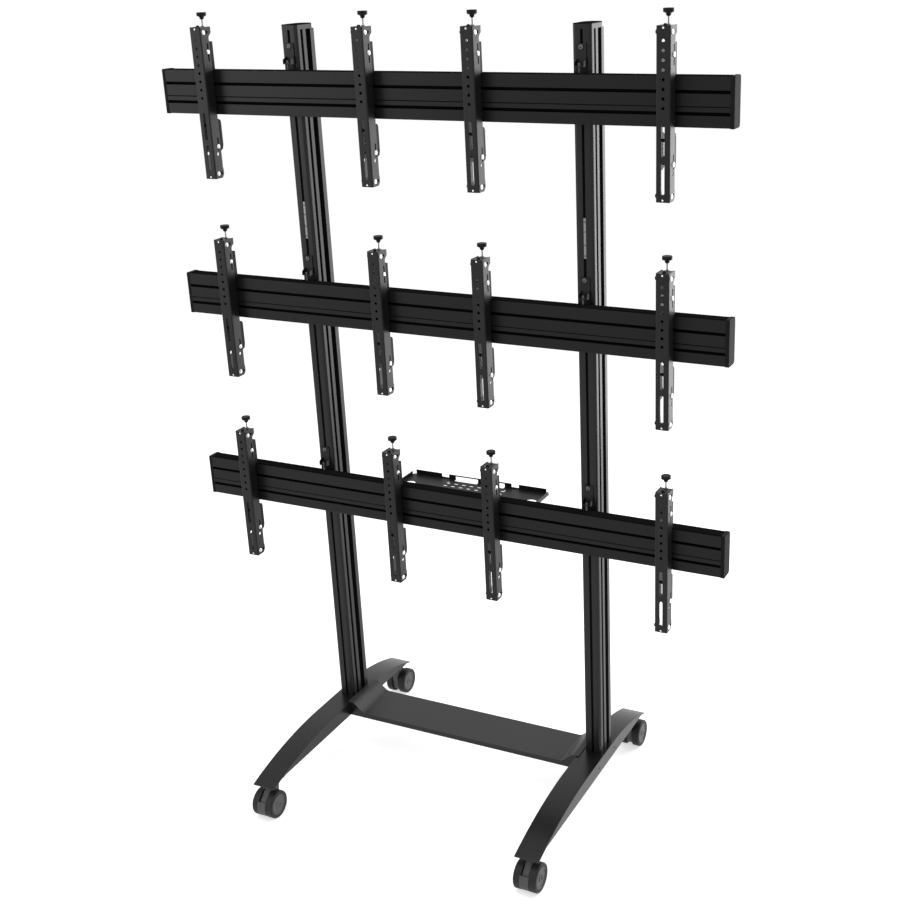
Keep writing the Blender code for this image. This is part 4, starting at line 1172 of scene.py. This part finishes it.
def housing_mesh():
    """A web between the wheels, under a round plate. It swivels about z and the wheels are at -Y."""
    wheel_y = -CASTER_TRAIL
    crown = CASTER_TOP - SWIVEL_PLATE + JOIN
    outline = [(HOUSING_NECK, crown), (-HOUSING_NECK, crown)]
    for a in arc(*HOUSING_HOOD_ARC, 20) + arc(*HOUSING_HEEL_ARC, 14):
        outline.append((wheel_y + HOUSING_RADIUS * cos(a), WHEEL_RADIUS + HOUSING_RADIUS * sin(a)))
    web = prism(outline, "x", -HOUSING_HALF, HOUSING_HALF)
    plate = drum(SWIVEL_RADIUS, CASTER_TOP - SWIVEL_PLATE, CASTER_TOP, "z", facets=PLATE_FACETS)
    root = wheel_y - HOUSING_RADIUS + GUARD_ROOT
    guard = rounded([
        (wheel_y - WHEEL_RADIUS - GUARD_INSET, WHEEL_RADIUS - GUARD_BELOW_AXLE[0], SMALL),
        (root, WHEEL_RADIUS - GUARD_BELOW_AXLE[1]),
        (root, WHEEL_RADIUS + GUARD_ABOVE_AXLE[1]),
        (wheel_y - WHEEL_RADIUS + GUARD_LIP, WHEEL_RADIUS + GUARD_ABOVE_AXLE[0], MEDIUM),
    ], 4)
    guard_half = HOUSING_HALF - GUARD_INSET
    pedal = prism(guard, "x", -guard_half, guard_half)
    return shaped("housing", web, [plate, pedal], edge=0.0008)


def shield_mesh():
    """A thin shield on the web, round part of the treads."""
    near, far = SHIELD_RADII
    around = arc(*SHIELD_ARC, 12)
    steps = [(far, a) for a in around] + [(near, a) for a in reversed(around)]
    outline = [(radius * cos(a) - CASTER_TRAIL, WHEEL_RADIUS + radius * sin(a)) for radius, a in steps]
    return shaped("shield", prism(outline, "x", -SHIELD_HALF, SHIELD_HALF))


def wheel_meshes():
    """Two tyres and two discs on one axle, turned about x."""
    edge = WHEEL_OUTER
    tyre = rounded([
        (TYRE_STEPS[-1][0], WHEEL_INNER),
        (WHEEL_RADIUS, WHEEL_INNER, LARGE),
        *((radius, edge - inset, corner) for radius, inset, corner in TYRE_STEPS),
    ], 6)
    disc = rounded([
        (0, WHEEL_INNER),
        (DISC_STEPS[0][0], WHEEL_INNER),
        *((radius, edge - inset, corner) for radius, inset, corner in DISC_STEPS),
        (0, edge - DISC_STEPS[-1][1]),
    ], 3)
    tyres = []
    discs = [drum(AXLE_RADIUS, -WHEEL_INNER - JOIN, WHEEL_INNER + JOIN, "x")]
    for sign in (-1, 1):
        mesh = turned([(r, sign * h) for r, h in [*tyre, tyre[0]]], WHEEL_FACETS, "x")
        bmesh.ops.remove_doubles(mesh, verts=mesh.verts, dist=WELD)
        bmesh.ops.recalc_face_normals(mesh, faces=mesh.faces)
        tyres.append(mesh)
        discs.append(turned([(r, sign * h) for r, h in disc], WHEEL_FACETS, "x"))
    return shaped("tyres", together(tyres)), shaped("discs", together(discs))


def make_casters():
    """Four casters. The rear ones are turned round."""
    swivelling = (("hood", housing_mesh(), "hood"), ("shield", shield_mesh(), "hood"))
    tyres, discs = wheel_meshes()
    rolling = (("tyres", tyres, "tyre"), ("discs", discs, "disc"))
    for end, wheel_y in WHEEL_YS.items():
        turn = pi if end == "rear" else 0
        for side, sign in SIDES.items():
            name = f"caster_{end}_{side}"
            x = sign * COLUMN_X
            at = (x, SWIVEL_YS[end], 0)
            wheel_at = (x, wheel_y, WHEEL_RADIUS)
            place(name, swivelling, f"{name}_swivel", at, f"{name}_housing", turn)
            place(name, rolling, f"{name}_roll", wheel_at, f"{name}_wheels")


# Studio

def make_camera():
    """The photograph's camera: a heading, a pitch down and a small roll, in degrees, from looking along y."""
    heading, pitch, roll = (Matrix.Rotation(radians(angle), 3, axis) for axis, angle in CAMERA_TURNS)
    right, forward, up = (heading @ pitch @ roll).col
    turn = Matrix((right, up, -forward)).transposed().to_4x4()
    data = bpy.data.cameras.new("photo_camera")
    data.sensor_width = CAMERA_SENSOR
    data.lens = CAMERA_LENS
    data.shift_x, data.shift_y = CAMERA_SHIFT
    data.clip_end = CAMERA_SEES_TO
    made = linked("photo_camera", data)
    made.matrix_world = Matrix.Translation(CAMERA_PLACE) @ turn
    bpy.context.scene.camera = made


def make_lamp(name, at, target, size, watts):
    """A rectangular lamp that faces a target and isn't seen itself."""
    data = bpy.data.lights.new(name, "AREA")
    data.shape = "RECTANGLE"
    data.size, data.size_y = size
    data.energy = watts
    made = linked(name, data)
    made.location = at
    aim = Vector(target) - Vector(at)
    made.rotation_euler = aim.to_track_quat("-Z", "Y").to_euler()
    made.visible_camera = False


def seen_directly(tree):
    """A socket that is 1 for camera, glossy and transmission rays, and 0 for the rays that carry light."""
    path = shader_node(tree, "LightPath")
    total = path.outputs["Is Camera Ray"]
    for ray in ("Is Glossy Ray", "Is Transmission Ray"):
        either = shader_node(tree, "Math")
        either.operation = "MAXIMUM"
        tree.links.new(total, either.inputs[0])
        tree.links.new(path.outputs[ray], either.inputs[1])
        total = either.outputs[0]
    return total


def make_world():
    """An even white world, at full white where it is seen directly."""
    world = bpy.data.worlds.new("studio")
    world.use_nodes = True
    bpy.context.scene.world = world
    tree = world.node_tree
    sky = tree.nodes["Background"]
    sky.inputs["Color"].default_value = (1, 1, 1, 1)
    level = shader_node(tree, "MapRange", To_Min=WORLD_LIGHT, To_Max=1.0)
    tree.links.new(seen_directly(tree), level.inputs["Value"])
    tree.links.new(level.outputs["Result"], sky.inputs["Strength"])


def make_floor():
    """A white floor that keeps the shadow. Seen directly it is lifted to the white of the background."""
    look = finish("studio_floor", (0.90, 0.90, 0.90), 0.9, 0.0, grain=0.004, size=3, relief=0.0)
    tree = look.node_tree
    shader = tree.nodes["Principled BSDF"]
    shader.inputs["Emission Color"].default_value = (1, 1, 1, 1)
    lift = shader_node(tree, "Math")
    lift.operation = "MULTIPLY"
    lift.inputs[1].default_value = FLOOR_LIFT
    tree.links.new(seen_directly(tree), lift.inputs[0])
    tree.links.new(lift.outputs[0], shader.inputs["Emission Strength"])
    data = shaped("floor", box(*FLOOR))
    data.materials.append(look)
    made = linked("floor", data)


# Build

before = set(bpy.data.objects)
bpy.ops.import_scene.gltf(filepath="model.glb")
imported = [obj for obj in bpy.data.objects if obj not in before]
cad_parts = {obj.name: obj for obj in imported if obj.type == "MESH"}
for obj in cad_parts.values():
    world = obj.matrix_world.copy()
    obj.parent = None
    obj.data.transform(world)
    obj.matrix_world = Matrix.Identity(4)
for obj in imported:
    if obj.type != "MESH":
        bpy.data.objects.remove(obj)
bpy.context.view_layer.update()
bpy.context.scene.view_settings.view_transform = "Standard"
looks = make_finishes()
make_columns()
make_rails()
make_clamps()
make_arms()
make_legs()
make_panel()
make_shelf()
make_casters()
make_world()
make_floor()
for lamp in LAMPS:
    make_lamp(*lamp)
make_camera()
